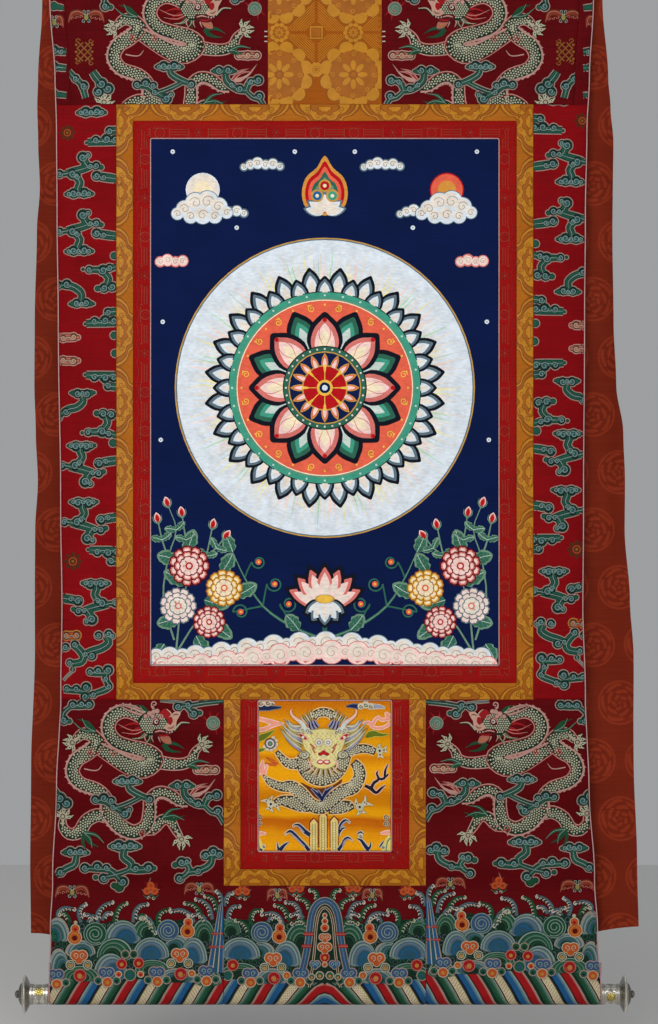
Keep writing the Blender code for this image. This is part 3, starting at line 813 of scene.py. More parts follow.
add_border("red_border", PAINTING_WIDTH / 2, PAINTING_TOP, PAINTING_FOOT, RED_RISE)
add_border(
    "gold_border",
    PAINTING_WIDTH / 2 + BORDER_WIDTH,
    PAINTING_TOP - BORDER_WIDTH,
    PAINTING_FOOT + BORDER_WIDTH,
    GOLD_RISE,
)
add_border("door_red", DOOR_WIDTH / 2, FRAME_FOOT, DOOR_FOOT, RED_RISE, open_top=True)
add_border("door_gold", DOOR_WIDTH / 2 + BORDER_WIDTH, FRAME_FOOT, DOOR_FOOT + BORDER_WIDTH, GOLD_RISE, True)
print(len(panels), "widths of cloth")

# %% Cut and hang them
cloths = [
    # first word of the name, finish, slot, what it is sewn to
    ("head_centre", head_gold_silk, "gold_brocade", "gold_border_top"),
    # the head and foot rows take the crimson brocade with painted shade
    ("head_", red_silk_painted_shade, "red_brocade", "head_centre"),
    ("side_", red_silk, "red_brocade", "head_left"),
    ("foot_", red_silk_painted_shade, "red_brocade", "side_left"),
    ("painting", cotton, "painted_cotton", "painting_piping"),
    ("door_gold", gold_silk, "gold_brocade", "foot_left"),
    ("door_red", border_silk, "red_border", "door_gold_left"),
    ("door", yellow_silk, "yellow_brocade", "door_piping"),
    ("gold_border", gold_silk, "gold_brocade", "side_left"),
    ("red_border", border_silk, "red_border", "gold_border_left"),
]
for name, panel in panels.items():
    finish, slot, carrier = next(row[1:] for row in cloths if name.startswith(row[0]))
    lay_sheet(f"{name}_sheet", panel, finish, slot, [carrier])

# %% [markdown]
# ## Piping
# A thin twisted cord is laid in the seam round the painting and round the door, and down both outer
# edges. A tube follows the seam on the flat cloth, and two shallow grooves that wind round it make the
# twist. It is hung by the same function as the cloth.

# %% Twisted cords
CORD_SIDES = 8
CORD_STEP = 0.0016
CORD_LAY = 0.0064
CORD_GROOVE = 0.18
CORD_CORNER = 0.0020
CORD_LIFT = BROCADE / 2 - 0.0003


def cord_colours(mesh, colour):
    """Gives every face of a mesh the same thread colour."""
    layer = mesh.attributes.new("thread", "FLOAT_COLOR", "FACE")
    layer.data.foreach_set("color", np.tile(colour, len(mesh.polygons)))


def lay_cord(name, node_name, path, outwards):
    """A twisted cord along points of the flat cloth; outwards holds the sideways direction at each."""
    runs = np.concatenate([[0.0], np.cumsum(np.linalg.norm(np.diff(path, axis=0), axis=1))])
    stations = np.linspace(0, runs[-1], round(runs[-1] / CORD_STEP))
    angles = np.linspace(0, 2 * math.pi, CORD_SIDES + 1)
    small = flat_grid(list(angles), list(stations))
    flat = np.array([vert.co[:] for vert in small.verts])
    angle, run = flat[:, 0], flat[:, 1]
    groove = 1 - CORD_GROOVE * np.abs(np.sin(angle - 2 * math.pi * run / CORD_LAY)) ** 3
    radius = PIPING_WIDTH / 2 * groove
    middle = np.stack([np.interp(run, runs, path[:, axis]) for axis in (0, 1)], 1)
    side = np.stack([np.interp(run, runs, outwards[:, axis]) for axis in (0, 1)], 1)
    side /= np.linalg.norm(side, axis=1)[:, None]
    placed = middle + side * (radius * np.cos(angle))[:, None]
    heights = CORD_LIFT + radius * np.sin(angle)
    for vert, (x, drop), height in zip(small.verts, placed, heights):
        vert.co = (x, drop, height)
    bmesh.ops.remove_doubles(small, verts=small.verts, dist=1e-6)
    small.normal_update()
    bmesh.ops.recalc_face_normals(small, faces=small.faces)
    mesh = to_mesh(name, small)
    cord_colours(mesh, srgb(216, 172, 174))
    lay_out(mesh, hang)
    mesh.shade_smooth()
    piece = add_piece(name, mesh, cord_finish)
    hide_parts(node_name)
    print(f"{name}: {runs[-1]:.2f} m of cord")


def ring_path(half, top, foot):
    """A closed line round an opening with small round corners, and its sideways directions."""
    middle = PIPING_WIDTH / 2 + half_gap
    right, low, high = half - middle, foot - middle, top + middle
    line, sides = [], []
    for corner, (x, drop) in enumerate([(right, low), (-right, low), (-right, high), (right, high)]):
        centre = (x - math.copysign(CORD_CORNER, x), drop + (CORD_CORNER if drop == high else -CORD_CORNER))
        for part in range(5):
            turn = math.radians(90 * corner + 90 * part / 4)
            direction = (math.cos(turn), math.sin(turn))
            line.append((centre[0] + CORD_CORNER * direction[0], centre[1] + CORD_CORNER * direction[1]))
            sides.append(direction)
    return np.array(line + line[:1]), np.array(sides + sides[:1])


def edge_path(edge, sign):
    line = np.stack([edge(CLOTH_ROWS) - sign * PIPING_WIDTH / 2, CLOTH_ROWS], 1)
    return line, np.tile((float(sign), 0.0), (len(CLOTH_ROWS), 1))


lay_cord("painting_cord", "painting_piping", *ring_path(PAINTING_WIDTH / 2, PAINTING_TOP, PAINTING_FOOT))
lay_cord("door_cord", "door_piping", *ring_path(DOOR_WIDTH / 2, FRAME_FOOT, DOOR_FOOT))
lay_cord("edge_cord_left", "edge_piping_left", *edge_path(left_edge, -1))
lay_cord("edge_cord_right", "edge_piping_right", *edge_path(right_edge, 1))

# %% [markdown]
# ## The silk cover
# When a thangka isn't shown, a thin silk hangs over its face. Here it is thrown back over the top and
# hangs behind, so that only its edges show. It is one sheet on a fine grid, with upright folds that grow
# from the top.

# %% Hang the cover
COVER = 0.0010
COVER_EDGES = [
    # drop, left, right, behind
    (0.002, 0.4000, 0.3900, 0.0032),
    (0.034, 0.4020, 0.3930, 0.0032),
    (0.075, 0.4050, 0.3980, 0.0060),
    (0.182, 0.4120, 0.4070, 0.0085),
    (0.222, 0.4135, 0.4105, 0.0090),
    (0.272, 0.4125, 0.4150, 0.0095),
    (0.336, 0.4105, 0.4145, 0.0100),
    (0.400, 0.4150, 0.4140, 0.0100),
    (0.530, 0.4185, 0.4160, 0.0100),
    (0.620, 0.4190, 0.4200, 0.0095),
    (0.690, 0.4170, 0.4305, 0.0095),
    (0.760, 0.4140, 0.4330, 0.0095),
    (0.830, 0.4180, 0.4325, 0.0100),
    (0.930, 0.4185, 0.4400, 0.0105),
    (1.010, 0.4180, 0.4450, 0.0110),
    (1.160, 0.4225, 0.4440, 0.0120),
    (1.300, 0.4230, 0.4480, 0.0125),
    (1.420, 0.4215, 0.4500, 0.0130),
]
COVER_FOLDS = [
    # x at the top, x at the foot, half width, depth
    (-0.385, -0.400, 0.024, 0.0050),
    (-0.285, -0.330, 0.045, 0.0045),
    (-0.120, -0.150, 0.060, 0.0050),
    (0.060, 0.030, 0.050, 0.0042),
    (0.190, 0.225, 0.055, 0.0052),
    (0.350, 0.372, 0.036, 0.0048),
    (0.398, 0.432, 0.020, -0.0035),
]
COVER_CREASES = [
    # x, drop, half width, half drop, depth: soft dents where the silk was folded
    (-0.402, 0.110, 0.020, 0.010, 0.0018),
    (-0.396, 0.180, 0.018, 0.020, -0.0012),
    (-0.404, 0.560, 0.012, 0.050, 0.0012),
    (-0.400, 0.900, 0.014, 0.030, -0.0012),
    (0.404, 0.655, 0.014, 0.020, 0.0014),
    (0.424, 0.972, 0.026, 0.008, -0.0016),
    (0.418, 0.990, 0.030, 0.010, 0.0018),
    (0.430, 1.200, 0.014, 0.060, 0.0014),
    (0.060, 0.500, 0.200, 0.030, 0.0014),
    (-0.150, 0.980, 0.220, 0.026, -0.0014),
]
COVER_CURL_SHARE = 1.12
COVER_FOLDS_START, COVER_FOLDS_FULL = 0.05, 0.32
COVER_FOOT_LEFT, COVER_FOOT_MIDDLE, COVER_FOOT_RIGHT = 1.408, 1.419, 1.398
COVER_CORNER_LEFT, COVER_CORNER_RIGHT = 0.10, 0.16
COVER_GRID = 0.010


def cover_depth(x, drop):
    grown = ease((drop - COVER_FOLDS_START) / (COVER_FOLDS_FULL - COVER_FOLDS_START))
    depth = along_table(COVER_EDGES, drop, 3) + COVER_CURL_SHARE * curl_back(x, drop)
    for top_x, foot_x, half_width, fold in COVER_FOLDS:
        middle = top_x + (foot_x - top_x) * drop / COVER_FOOT_MIDDLE
        depth = depth + grown * fold * np.exp(-(((x - middle) / half_width) ** 2))
    for middle, level, half_width, half_drop, fold in COVER_CREASES:
        away = ((x - middle) / half_width) ** 2 + ((drop - level) / half_drop) ** 2
        depth = depth + fold * np.exp(-away)
    return depth


def cover_foot(across):
    """The drop of the cover's foot: its corners are lifted."""
    left_lift = (1 - ease(across / COVER_CORNER_LEFT)) * (COVER_FOOT_LEFT - COVER_FOOT_MIDDLE)
    right_lift = (1 - ease((1 - across) / COVER_CORNER_RIGHT)) * (COVER_FOOT_RIGHT - COVER_FOOT_MIDDLE)
    return COVER_FOOT_MIDDLE + left_lift + right_lift


def hang_cover(points):
    x, drop, height = points.T
    return np.stack([x, cover_depth(x, drop) - height, -drop], 1)


def lay_cover():
    top = COVER_EDGES[0][0]
    shares = [line / 0.84 for line in steps(0.0, 0.84, COVER_GRID)]
    small = flat_grid(shares, [line / 1.42 for line in steps(0.0, 1.42, COVER_GRID)])
    for vert in small.verts:
        across, share, _ = vert.co
        drop = top + (float(cover_foot(across)) - top) * share
        left = -float(along_table(COVER_EDGES, drop, 1))
        right = float(along_table(COVER_EDGES, drop, 2))
        vert.co = (left + (right - left) * across, drop, COVER / 2)
    thicken(small, -COVER / 2)
    mesh = lay_out(to_mesh("cover_sheet", small), hang_cover)
    mesh.shade_smooth()
    mesh.set_sharp_from_angle(angle=math.radians(50))
    piece = add_piece("cover_sheet", mesh, cover_silk)
    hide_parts("cover")


lay_cover()

# %% [markdown]
# ## Woven motifs
# The brocade's clouds, dragons and waves are real weave, raised a little above the ground. Each is built
# from three kinds of small shape, laid on each other like layers of thread: a spot, which is a puffed
# disc, a ribbon, which is a puffed strip along a smooth line, and a patch, which is any outline. A larger
# shape in a pale thread under a smaller one in a dark thread gives the outline. Shapes are sliced at the
# cloth's rows, so that they can follow its folds. Lines are written as text, one place after another.

# %% Threads and lines
STEP = 0.00143
GRID_MIDDLE = 324.5
GRID_TOP = 50.0
LAYER = 0.00020
SAMPLES = 3
THIN = 1.5
SHADES = """
pale 178 156 144, dark 8 24 26, teal 28 98 78, sea 40 92 116, mist 146 172 162, green 24 84 52,
deep 12 46 32, scale 212 212 182, spine 216 164 152, ivory 206 192 166, red 176 16 24, wine 96 4 12,
salmon 200 120 102, orange 206 92 34, amber 206 142 60, ochre 160 98 40, umber 96 44 16, blue 28 98 150,
sky 98 132 160, navy 10 26 70, denim 60 90 134, lagoon 44 100 104, white 226 216 204, blush 226 176 156,
slate 52 50 44, ash 196 190 160, lilac 150 146 168, khaki 164 150 84, face 222 210 140, trim 236 190 126,
pink 232 152 130, buttery 236 226 160, sprout 176 214 186, olive 98 112 22, lime 186 184 76,
straw 222 200 110, mint 192 208 202, coral 222 96 72, jade 62 150 126, steel 92 112 124, frost 212 222 232,
rose 206 112 106, petal 238 204 198, lemon 230 184 72, cream 238 222 190, leaf 44 98 80, fern 104 138 116,
ink 14 18 30, gold 192 146 66, glint 208 140 32, honey 178 102 18, bronze 156 86 12, russet 150 58 36,
brick 186 58 34, rust 140 26 16, gilt 190 176 78, gilding 222 210 120, silver 236 232 224
"""
THREADS = {}
for thread in SHADES.split(","):
    name, *shade = thread.split()
    THREADS[name] = srgb(*map(int, shade))


def path(text):
    """Places written as x,y and parted by spaces."""
    return [tuple(float(number) for number in place.split(",")) for place in text.split()]


def as_points(places):
    return path(places) if isinstance(places, str) else places


def around(x, y, radius, count, start=0.0):
    """Places spread evenly round a centre, each with its direction in degrees."""
    places = []
    for index in range(count):
        turn = start + 360 * index / count
        angle = math.radians(turn)
        places.append((x + radius * math.cos(angle), y + radius * math.sin(angle), turn))
    return places


def smooth_line(points, closed=False):
    """A smooth line through points, as many short steps: each stretch is a cubic through its neighbours."""
    points = np.array(as_points(points), float)
    if closed:
        points = np.concatenate([points[-1:], points, points[:2]])
    else:
        points = np.concatenate([2 * points[:1] - points[1:2], points, 2 * points[-1:] - points[-2:-1]])
    share = (np.arange(SAMPLES) / SAMPLES)[:, None]
    stretches = []
    for before, start, end, after in zip(points, points[1:], points[2:], points[3:]):
        square = 2 * before - 5 * start + 4 * end - after
        cube = 3 * start - before - 3 * end + after
        stretches.append(0.5 * (2 * start + (end - before) * share + square * share**2 + cube * share**3))
    return np.concatenate(stretches if closed else stretches + [points[-2:-1]])


def sideways(line, closed=False):
    """The direction to the side of a line at each of its points."""
    along = np.gradient(line, axis=0)
    if closed:
        along[0] = along[-1] = line[1] - line[-2]
    along /= np.maximum(np.linalg.norm(along, axis=1), 1e-9)[:, None]
    return np.stack([-along[:, 1], along[:, 0]], 1)


# %% The needle
class Needle:
    """Draws motifs on one panel, in steps of the grid, and then hangs them as one piece."""

    def __init__(self, panel, surface=hang, lift=LAYER):
        self.panel, self.surface, self.lift = panel, surface, lift
        self.base, self.puff = 0, 0.7
        self.whole = bmesh.new()
        self.whole.faces.layers.float_color.new("thread")
        self.shapes = 0
        self.place()

    def place(self, x=0.0, y=0.0, flip_x=False, flip_y=False, squeeze=1.0, turn=0.0, side="left"):
        """Where the next motifs go: their own zero point, mirrored, squeezed in height and turned. The right
        half of the mount mirrors its left half."""
        across = Matrix.Diagonal((-1 if flip_x else 1, -squeeze if flip_y else squeeze, 1, 1))
        own = Matrix.Translation((x, y, 0)) @ Matrix.Rotation(math.radians(turn), 4, "Z") @ across
        grid = Matrix.Diagonal((STEP, STEP, 1, 1)) @ Matrix.Translation((-GRID_MIDDLE, GRID_TOP, 0))
        self.to_cloth = Matrix.Diagonal((-1 if side == "right" else 1, 1, 1, 1)) @ grid @ own

    def stitch(self, small, colour, layer):
        """Colours a small mesh, drawn with heights from 0 to 1, and sews it on at a layer."""
        low = (self.base + layer + 0.2 + (self.shapes % 50) / 1000) * self.lift
        self.shapes += 1
        for vert in small.verts:
            vert.co.z = low + vert.co.z * self.puff * self.lift
        bmesh.ops.transform(small, matrix=self.to_cloth, verts=small.verts)
        if self.to_cloth.determinant() < 0:
            bmesh.ops.reverse_faces(small, faces=small.faces)
        thread = small.faces.layers.float_color.new("thread")
        for face in small.faces:
            face[thread] = THREADS[colour]
        drops = [vert.co.y for vert in small.verts]
        first, last = np.searchsorted(CLOTH_ROWS, (min(drops), max(drops)))
        for row in CLOTH_ROWS[first:last]:
            slice_at(small, (0, row), (0, 1))
        sides = [vert.co.x for vert in small.verts]
        if max(sides) - min(sides) > COLUMN_SPACING and max(map(abs, sides)) > CURL_STARTS:
            for column in steps(min(sides), max(sides), COLUMN_SPACING)[1:-1]:
                slice_at(small, (column, 0), (1, 0))
        patch = to_mesh("patch", small)
        self.whole.from_mesh(patch)
        bpy.data.meshes.remove(patch)

    def spot(self, x, y, radius, colour, layer, sides=12, squash=1.0, turn=0.0):
        """A disc, or an oval that is squashed across its direction."""
        small = bmesh.new()
        matrix = Matrix.Translation((x, y, 0)) @ Matrix.Rotation(math.radians(turn), 4, "Z")
        matrix = matrix @ Matrix.Diagonal((1, squash, 1, 1))
        bmesh.ops.create_circle(small, cap_ends=True, segments=sides, radius=radius, matrix=matrix)
        inner = bmesh.ops.inset_individual(small, faces=small.faces[:], thickness=0.3 * radius * squash)
        rim = set(inner["faces"])
        for face in small.faces:
            if face not in rim:
                for vert in face.verts:
                    vert.co.z = 1
        self.stitch(small, colour, layer)

    def ribbon(self, points, widths, colour, layer, closed=False, bend=True):
        """A strip along a line. widths is one number, or one for each point."""
        points = as_points(points)
        line = smooth_line(points, closed) if bend else np.array(points, float)
        widths = [widths] * len(points) if np.isscalar(widths) else list(widths)
        if closed:
            line, widths = np.concatenate([line, line[:1]]), widths + widths[:1]
        wide = np.interp(np.linspace(0, 1, len(line)), np.linspace(0, 1, len(widths)), widths)
        reach = sideways(line, closed) * (wide / 2)[:, None]
        thin = max(widths) < THIN
        small = flat_grid([-1, 1] if thin else [-1, 0, 1], list(range(len(line))))
        for vert in small.verts:
            side, index = vert.co.x, round(vert.co.y)
            place = line[index] + reach[index] * side
            vert.co = (place[0], place[1], 0.5 if thin else 1 - abs(side))
        small.normal_update()
        bmesh.ops.reverse_faces(small, faces=[face for face in small.faces if face.normal.z < 0])
        self.stitch(small, colour, layer)

    def bar(self, start, end, widths, colour, layer):
        """A straight ribbon."""
        self.ribbon([start, end], widths, colour, layer, bend=False)

    def patch(self, outline, colour, layer, bend=True, rim=0.5):
        """A filled outline with a puffed middle."""
        line = smooth_line(outline, closed=True) if bend else np.array(outline, float)
        small = bmesh.new()
        face = small.faces.new([small.verts.new((x, y, 0)) for x, y in line])
        face.normal_update()
        if face.normal.z < 0:
            face.normal_flip()
        bmesh.ops.inset_region(small, faces=[face], thickness=rim)
        for vert in face.verts:
            vert.co.z = 1
        bmesh.ops.triangulate(small, faces=[face])
        self.stitch(small, colour, layer)

    def spiral(self, x, y, radius, colour, layer, turns=1.25, start=0.0, width=0.8, hand=1):
        """A curl that winds inwards."""
        count = max(5, round(turns * (9 + radius)))
        share = np.arange(count + 1) / count
        angle = math.radians(start) + hand * share * turns * 2 * math.pi
        reach = radius * (1 - 0.8 * share)
        points = np.stack([x + reach * np.cos(angle), y + reach * np.sin(angle)], 1)
        self.ribbon(points, [width] * count + [width * 0.6], colour, layer, bend=False)

    def ring(self, x, y, radius, width, colour, layer, sides=14):
        points = [place[:2] for place in around(x, y, radius, sides)]
        self.ribbon(points, width, colour, layer, closed=True, bend=False)

    def scatter(self, points, radius, colour, layer, sides=4, turn=0.0):
        """Many small flat lozenges or dots in one go."""
        small = bmesh.new()
        for x, y in as_points(points):
            matrix = Matrix.Translation((x, y, 0)) @ Matrix.Rotation(math.radians(turn), 4, "Z")
            bmesh.ops.create_circle(small, cap_ends=True, segments=sides, radius=radius, matrix=matrix)
        self.stitch(small, colour, layer)

    def finish(self, name, finish, slot):
        """Trims the motifs at the panel's seams, lifts them to its face and hangs them."""
        panel = self.panel
        edges = [((0, panel.top), (0, 1)), ((0, panel.foot), (0, -1))] + list(panel.mitres)
        for way, edge in ((1, panel.left), (-1, panel.right)):
            ends = [float(edge(drop)) for drop in np.linspace(panel.top, panel.foot, 9)]
            if max(ends) - min(ends) < 1e-6:
                edges.append(((ends[0], 0), (way, 0)))
        for point, keep in edges:
            slice_at(self.whole, np.array(point) + np.array(keep) * SEAM_GAP, keep, clear=True)
        for vert in self.whole.verts:
            low, high = float(panel.left(vert.co.y)), float(panel.right(vert.co.y))
            vert.co.x = min(max(vert.co.x, low + SEAM_GAP), high - SEAM_GAP)
        bmesh.ops.dissolve_degenerate(self.whole, dist=1e-6, edges=self.whole.edges)
        set_heights(panel, self.whole.verts)
        mesh = lay_out(to_mesh(name, self.whole), self.surface)
        mesh.shade_smooth()
        mesh.set_sharp_from_angle(angle=math.radians(40))
        add_piece(name, mesh, finish)
        triangles = sum(len(face.vertices) - 2 for face in mesh.polygons)
        print(f"{name}: {self.shapes} shapes, {triangles} triangles")


# %% [markdown]
# ## Clouds
# The auspicious cloud of Chinese silk is a handful of curled lobes on a winding stem, often with a two-
# headed lobe at one end. Each is drawn three times, a little smaller each time: pale outline, dark line,
# teal core. Pale curls then mark its lobes. A chart lists the lobes as x,y,radius, then each stem after a
# bar, as its width and its line. A double head is written as @x,y,half width.

# %% Cloud shapes
DARK_INSET = 1.05
CORE_INSET = 1.70
PLUMP = 1.06


def double_head(x, y, half, lift=1):
    """The two-headed lobe at a cloud's end: overlapping discs in a row."""
    discs = (-0.34, 0, 0.39), (0.34, -0.3, 0.39), (0, 0.5, 0.29), (-0.64, 0.5, 0.27), (0.64, 0.5, 0.28)
    discs += (-0.85, 0.7, 0.17), (0.87, 0.8, 0.18)
    return [(x + across * half, y + down * lift, size * half) for across, down, size in discs]


def read_chart(chart):
    """The lobes and the stems of a cloud."""
    first, *rest = chart.split("|")
    lobes = []
    for word in first.split():
        numbers = path(word.strip("@"))[0]
        lobes += double_head(*numbers) if "@" in word else [numbers]
    stems = [stem.split(maxsplit=1) for stem in rest]
    return lobes, [(path(line), float(width)) for width, line in stems]


def cloud(sew, chart, threads="teal pale dark mist", curls=True):
    """threads are those of the core, the outline, the line between them and the curls."""
    core, edge, line, mark = threads.split()
    lobes, stems = read_chart(chart)
    lobes = [(x, y, PLUMP * radius) for x, y, radius in lobes]
    for layer, (colour, shrink) in enumerate(((edge, 0.0), (line, DARK_INSET), (core, CORE_INSET))):
        for points, width in stems:
            widths = [width * share - 2 * shrink for share in (1.35, 1.5, 1.5, 1.35)]
            if min(widths) > 0.4:
                sew.ribbon(points, widths, colour, layer)
        for x, y, radius in lobes:
            if radius > shrink + 0.4:
                sew.spot(x, y, radius - shrink, colour, layer)
    if not curls:
        return
    for points, width in stems:
        sew.ribbon(points, [0.2 * width, 0.5 * width, 0.5 * width, 0.2 * width], line, 2.2)
        sew.ribbon(points, [0.3, 0.9, 0.9, 0.3], mark, 2.8)
    middle = sum(lobe[0] for lobe in lobes) / len(lobes)
    for x, y, radius in lobes:
        if radius > 4.2:
            way, start = (1, 180) if x >= middle else (-1, 0)
            sew.spot(x, y, radius * 0.70, line, 2.5, sides=10)
            sew.spot(x, y, radius * 0.58, "lagoon" if core == "teal" else core, 2.8, sides=10)
            sew.spiral(x, y, radius * 0.62, mark, 3.2, 1.3, start, 0.8, -way)


def faint_blossom(sew, radius):
    """A round flower in a thread hardly lighter than the ground."""
    for x, y, turn in around(0, 0, 0.62 * radius, 8):
        sew.spot(x, y, 0.30 * radius, "umber", 0, squash=0.7, turn=turn, sides=8)
    sew.spot(0, 0, 0.34 * radius, "umber", 1)
    sew.ring(0, 0, 0.36 * radius, 0.9, "orange", 2)
    sew.scatter([(0, 0)], 0.16 * radius, "ochre", 2, sides=6)


# %% Weave the side widths
SIDE_CHARTS = {
    # a head, two side lobes, and a stem down to a double head
    "branched": """82.5,157.3,6.4 87.6,155.2,4 96,165.8,5.2 90,166,4.4 101,167.5,3.4 96.5,175.8,5.8
        103.5,177.5,4.6 59,173.5,5 72.4,173.3,6.6 76.5,176,5 @78.5,193,15.5
        | 7 83.5,160 86,165 90,168 | 6.5 66,172.8 74,171 82,169 90,166.5 | 4.6 58,173.5 63,173.5 68,173
        | 6.2 75,176 79.5,182 77.5,188 78,192 | 7 97,176 105,177.5 119,179.5""",
    # a tip, two lobes in a row, and a third above them that the frame cuts off
    "low": """84.8,323.8,2.4 94.3,321.3,5.2 105,320.5,6.2 113.5,321,5.8 108,312.3,5.2
        | 6.4 86,323.5 94,323 104,323 119,323 | 6.5 105,313 119,311""",
    # a pointed lobe, a body at the frame, and a stem down to half a double head
    "hooked": """89,269.6,4.8 82.8,269.2,2.6 103,270.4,6.4 109.5,268,5 104,288,5.8 97.5,288.6,3.8
        112,287,5.8 | 5.8 92,269.8 98,270 104,270 119,266 | 6 104,273 108.5,279 106,286""",
    # a lobe at the edge, a stem that winds down and a double head
    "winding": "66.2,284,5.8 57,284.8,5.4 @81,303,14 | 6.2 56,284.6 66,285 74.5,287.5 81,293.5 80.5,301",
    # a double head above a stem that runs down to the edge
    "tailed": "@82,393.5,14,-1 65.5,411.5,5.2 58,417,4.6 | 6.2 82,397 82.5,402 76,407.5 67,409.5 57,416",
    # a double head at the frame, a long stem, and a pointed tail at the edge
    "long": """98.5,635.5,5 108.5,634,5.2 112,636,4 91.5,655.6,5.8 85,654,4.4 74.5,644.6,5 65,647.4,5
        69.5,663,4.6 72.2,669.6,3.4 59.5,649,4.6 | 6.4 106,637 108.5,643 101,648.5 90,652 82,656
        | 6.2 72,645 78,649 83,656 81,662 72,664 | 2.4 71,664 72.5,670.5 67,676 62.8,680.8""",
    # three groups of lobes that run into the seam below the side widths
    "foot": """90,671.8,4.6 98,670.6,5.2 108,670,6 105.5,678.5,4.4 108.5,686.2,4.8 66.5,688.8,4.4
        76,689,5 86,687.2,5.8 85,696.6,5.8 93,694.5,4.6 | 5.6 88,672.5 98,673 108,673
        | 5.4 107,672 106,680 109,687 99,692 86,696 | 5.6 63,690 76,690.5 88,692""",
    "single": "@91,112,16",
}
SIDE_CLOUDS = """
branched 0 0, branched 0 57.5, hooked 0 0, winding 0 0, low 0 0, low 1.5 -181, low 0 698.5 y, tailed 0 0,
hooked -1 702 y, branched 2.3 639.3 y, branched 4.6 695.8 y, low 3 873.5 y, branched 174.1 777 x y,
long 0 0, foot 0 0, single 0 0
"""
SALMON = "salmon spine umber ivory"
RIGHT_SHIFT = -12.0


def weave_side(side, lift):
    """Each row of SIDE_CLOUDS is a cloud, a shift in x and y, and the axes in which it is mirrored."""
    sew = Needle(panels[f"side_{side}"])
    for row in SIDE_CLOUDS.split(","):
        name, x, y, *flips = row.split()
        sew.place(float(x), float(y) + lift, "x" in flips, "y" in flips, side=side)
        cloud(sew, SIDE_CHARTS[name])
    sew.place(0, lift, side=side)
    for y, lean in ((337.2, 0.8), (360.6, -0.8)):
        lobes = f"62.5,{y + lean},4.8 73,{y - 0.4 * lean},4.9 77.5,{y},3.2"
        cloud(sew, f"{lobes} | 6.5 56,{y} 66,{y} 76,{y}", SALMON)
    cloud(sew, "66,636,5 76,635.5,5.2 | 6.5 56,636 80,636", "orange amber umber mist")
    cloud(sew, "114,335.5,4.6 115,353.5,4.6 114,256,4.4 113,443,4.8", curls=False)
    for x, y, radius in ((67.0, 132.5, 9.0), (72.5, 561.5, 10.5)):
        sew.place(x, y + lift, side=side)
        faint_blossom(sew, radius)
    sew.finish(f"side_{side}_clouds", threads_finish, "red_brocade")


weave_side("left", 0.0)
weave_side("right", RIGHT_SHIFT)

# %% [markdown]
# ## Dragons
# The brocade of the head and the foot shows a dragon that reaches for a pearl among clouds. The weave
# repeats, so one drawing serves for all four, shifted, and mirrored on the right. Its body is a ribbon
# along a winding line: pale spines below, a dark skin on them, and rows of small lozenges for its scales.

# %% Dragon parts
SCALE_PITCH = 2.75
SCALE_SPACING = 0.86 * SCALE_PITCH
SCALE_RADIUS = 1.12
SCALE_MARGIN = 0.9


def offset_line(line, distance):
    return line + sideways(line) * np.reshape(distance, (-1, 1))


def even_line(line, spacing):
    """The line's points moved to even distances, and each one's share of the way."""
    runs = np.concatenate([[0.0], np.cumsum(np.linalg.norm(np.diff(line, axis=0), axis=1))])
    stations = np.linspace(0, runs[-1], max(3, round(runs[-1] / spacing) + 1))
    return np.stack([np.interp(stations, runs, line[:, axis]) for axis in (0, 1)], 1), stations / runs[-1]


def scale_rows(points, widths, pitch, spacing, margin):
    """The middle line of a scaly body, half its width along it, and where its scales lie."""
    line, shares = even_line(smooth_line(points), spacing)
    half = np.interp(shares, np.linspace(0, 1, len(widths)), widths) / 2
    scales = []
    for index in range(1, len(line) - 1):
        for place in np.arange(-20, 21) * pitch + (pitch / 2 if index % 2 else 0.0):
            if abs(place) <= half[index] - margin:
                scales.append(offset_line(line[index - 1 : index + 2], place)[1])
    return line, half, scales


def scaled_ribbon(sew, points, widths, layer=0, spines=0, belly=-1):
    """A scaly stretch of the body or a leg. spines and belly say on which side each lies, or 0 for none."""
    sew.ribbon(points, [width + 2.2 for width in widths], "spine", layer)
    sew.ribbon(points, widths, "deep", layer + 1)
    line, half, scales = scale_rows(points, widths, SCALE_PITCH, SCALE_SPACING, SCALE_MARGIN)
    sew.scatter(scales, SCALE_RADIUS, "scale", layer + 2)
    if spines:
        crest = offset_line(line, spines * (half + 0.8))
        sew.ribbon(crest[::3], 2.6, "spine", layer)
        tips = offset_line(line, spines * (half + 2.0))[1:-1:2]
        sew.scatter(tips, 1.7, "spine", layer + 1, sides=3, turn=90)
    sew.ribbon(offset_line(line, belly * (half - 0.2)), 0.6, "red", layer + 3, bend=False)


def tuft(sew, root, tips, colour, layer, width, light="mist"):
    """Strands of mane or flame from one root to several tips, with a light line in every other one."""
    root = np.array(root, float)
    for index, tip in enumerate(np.array(as_points(tips), float)):
        bow = 0.15 if index % 2 else -0.15
        middle = (root + tip) / 2 + np.array([-(tip - root)[1], (tip - root)[0]]) * bow
        sew.ribbon([root, middle, tip], [width, width * 0.8, 0.3], colour, layer)
        if light and index % 2 == 0:
            sew.ribbon([root, middle, tip], [0.7, 0.6, 0.3], light, layer + 1)


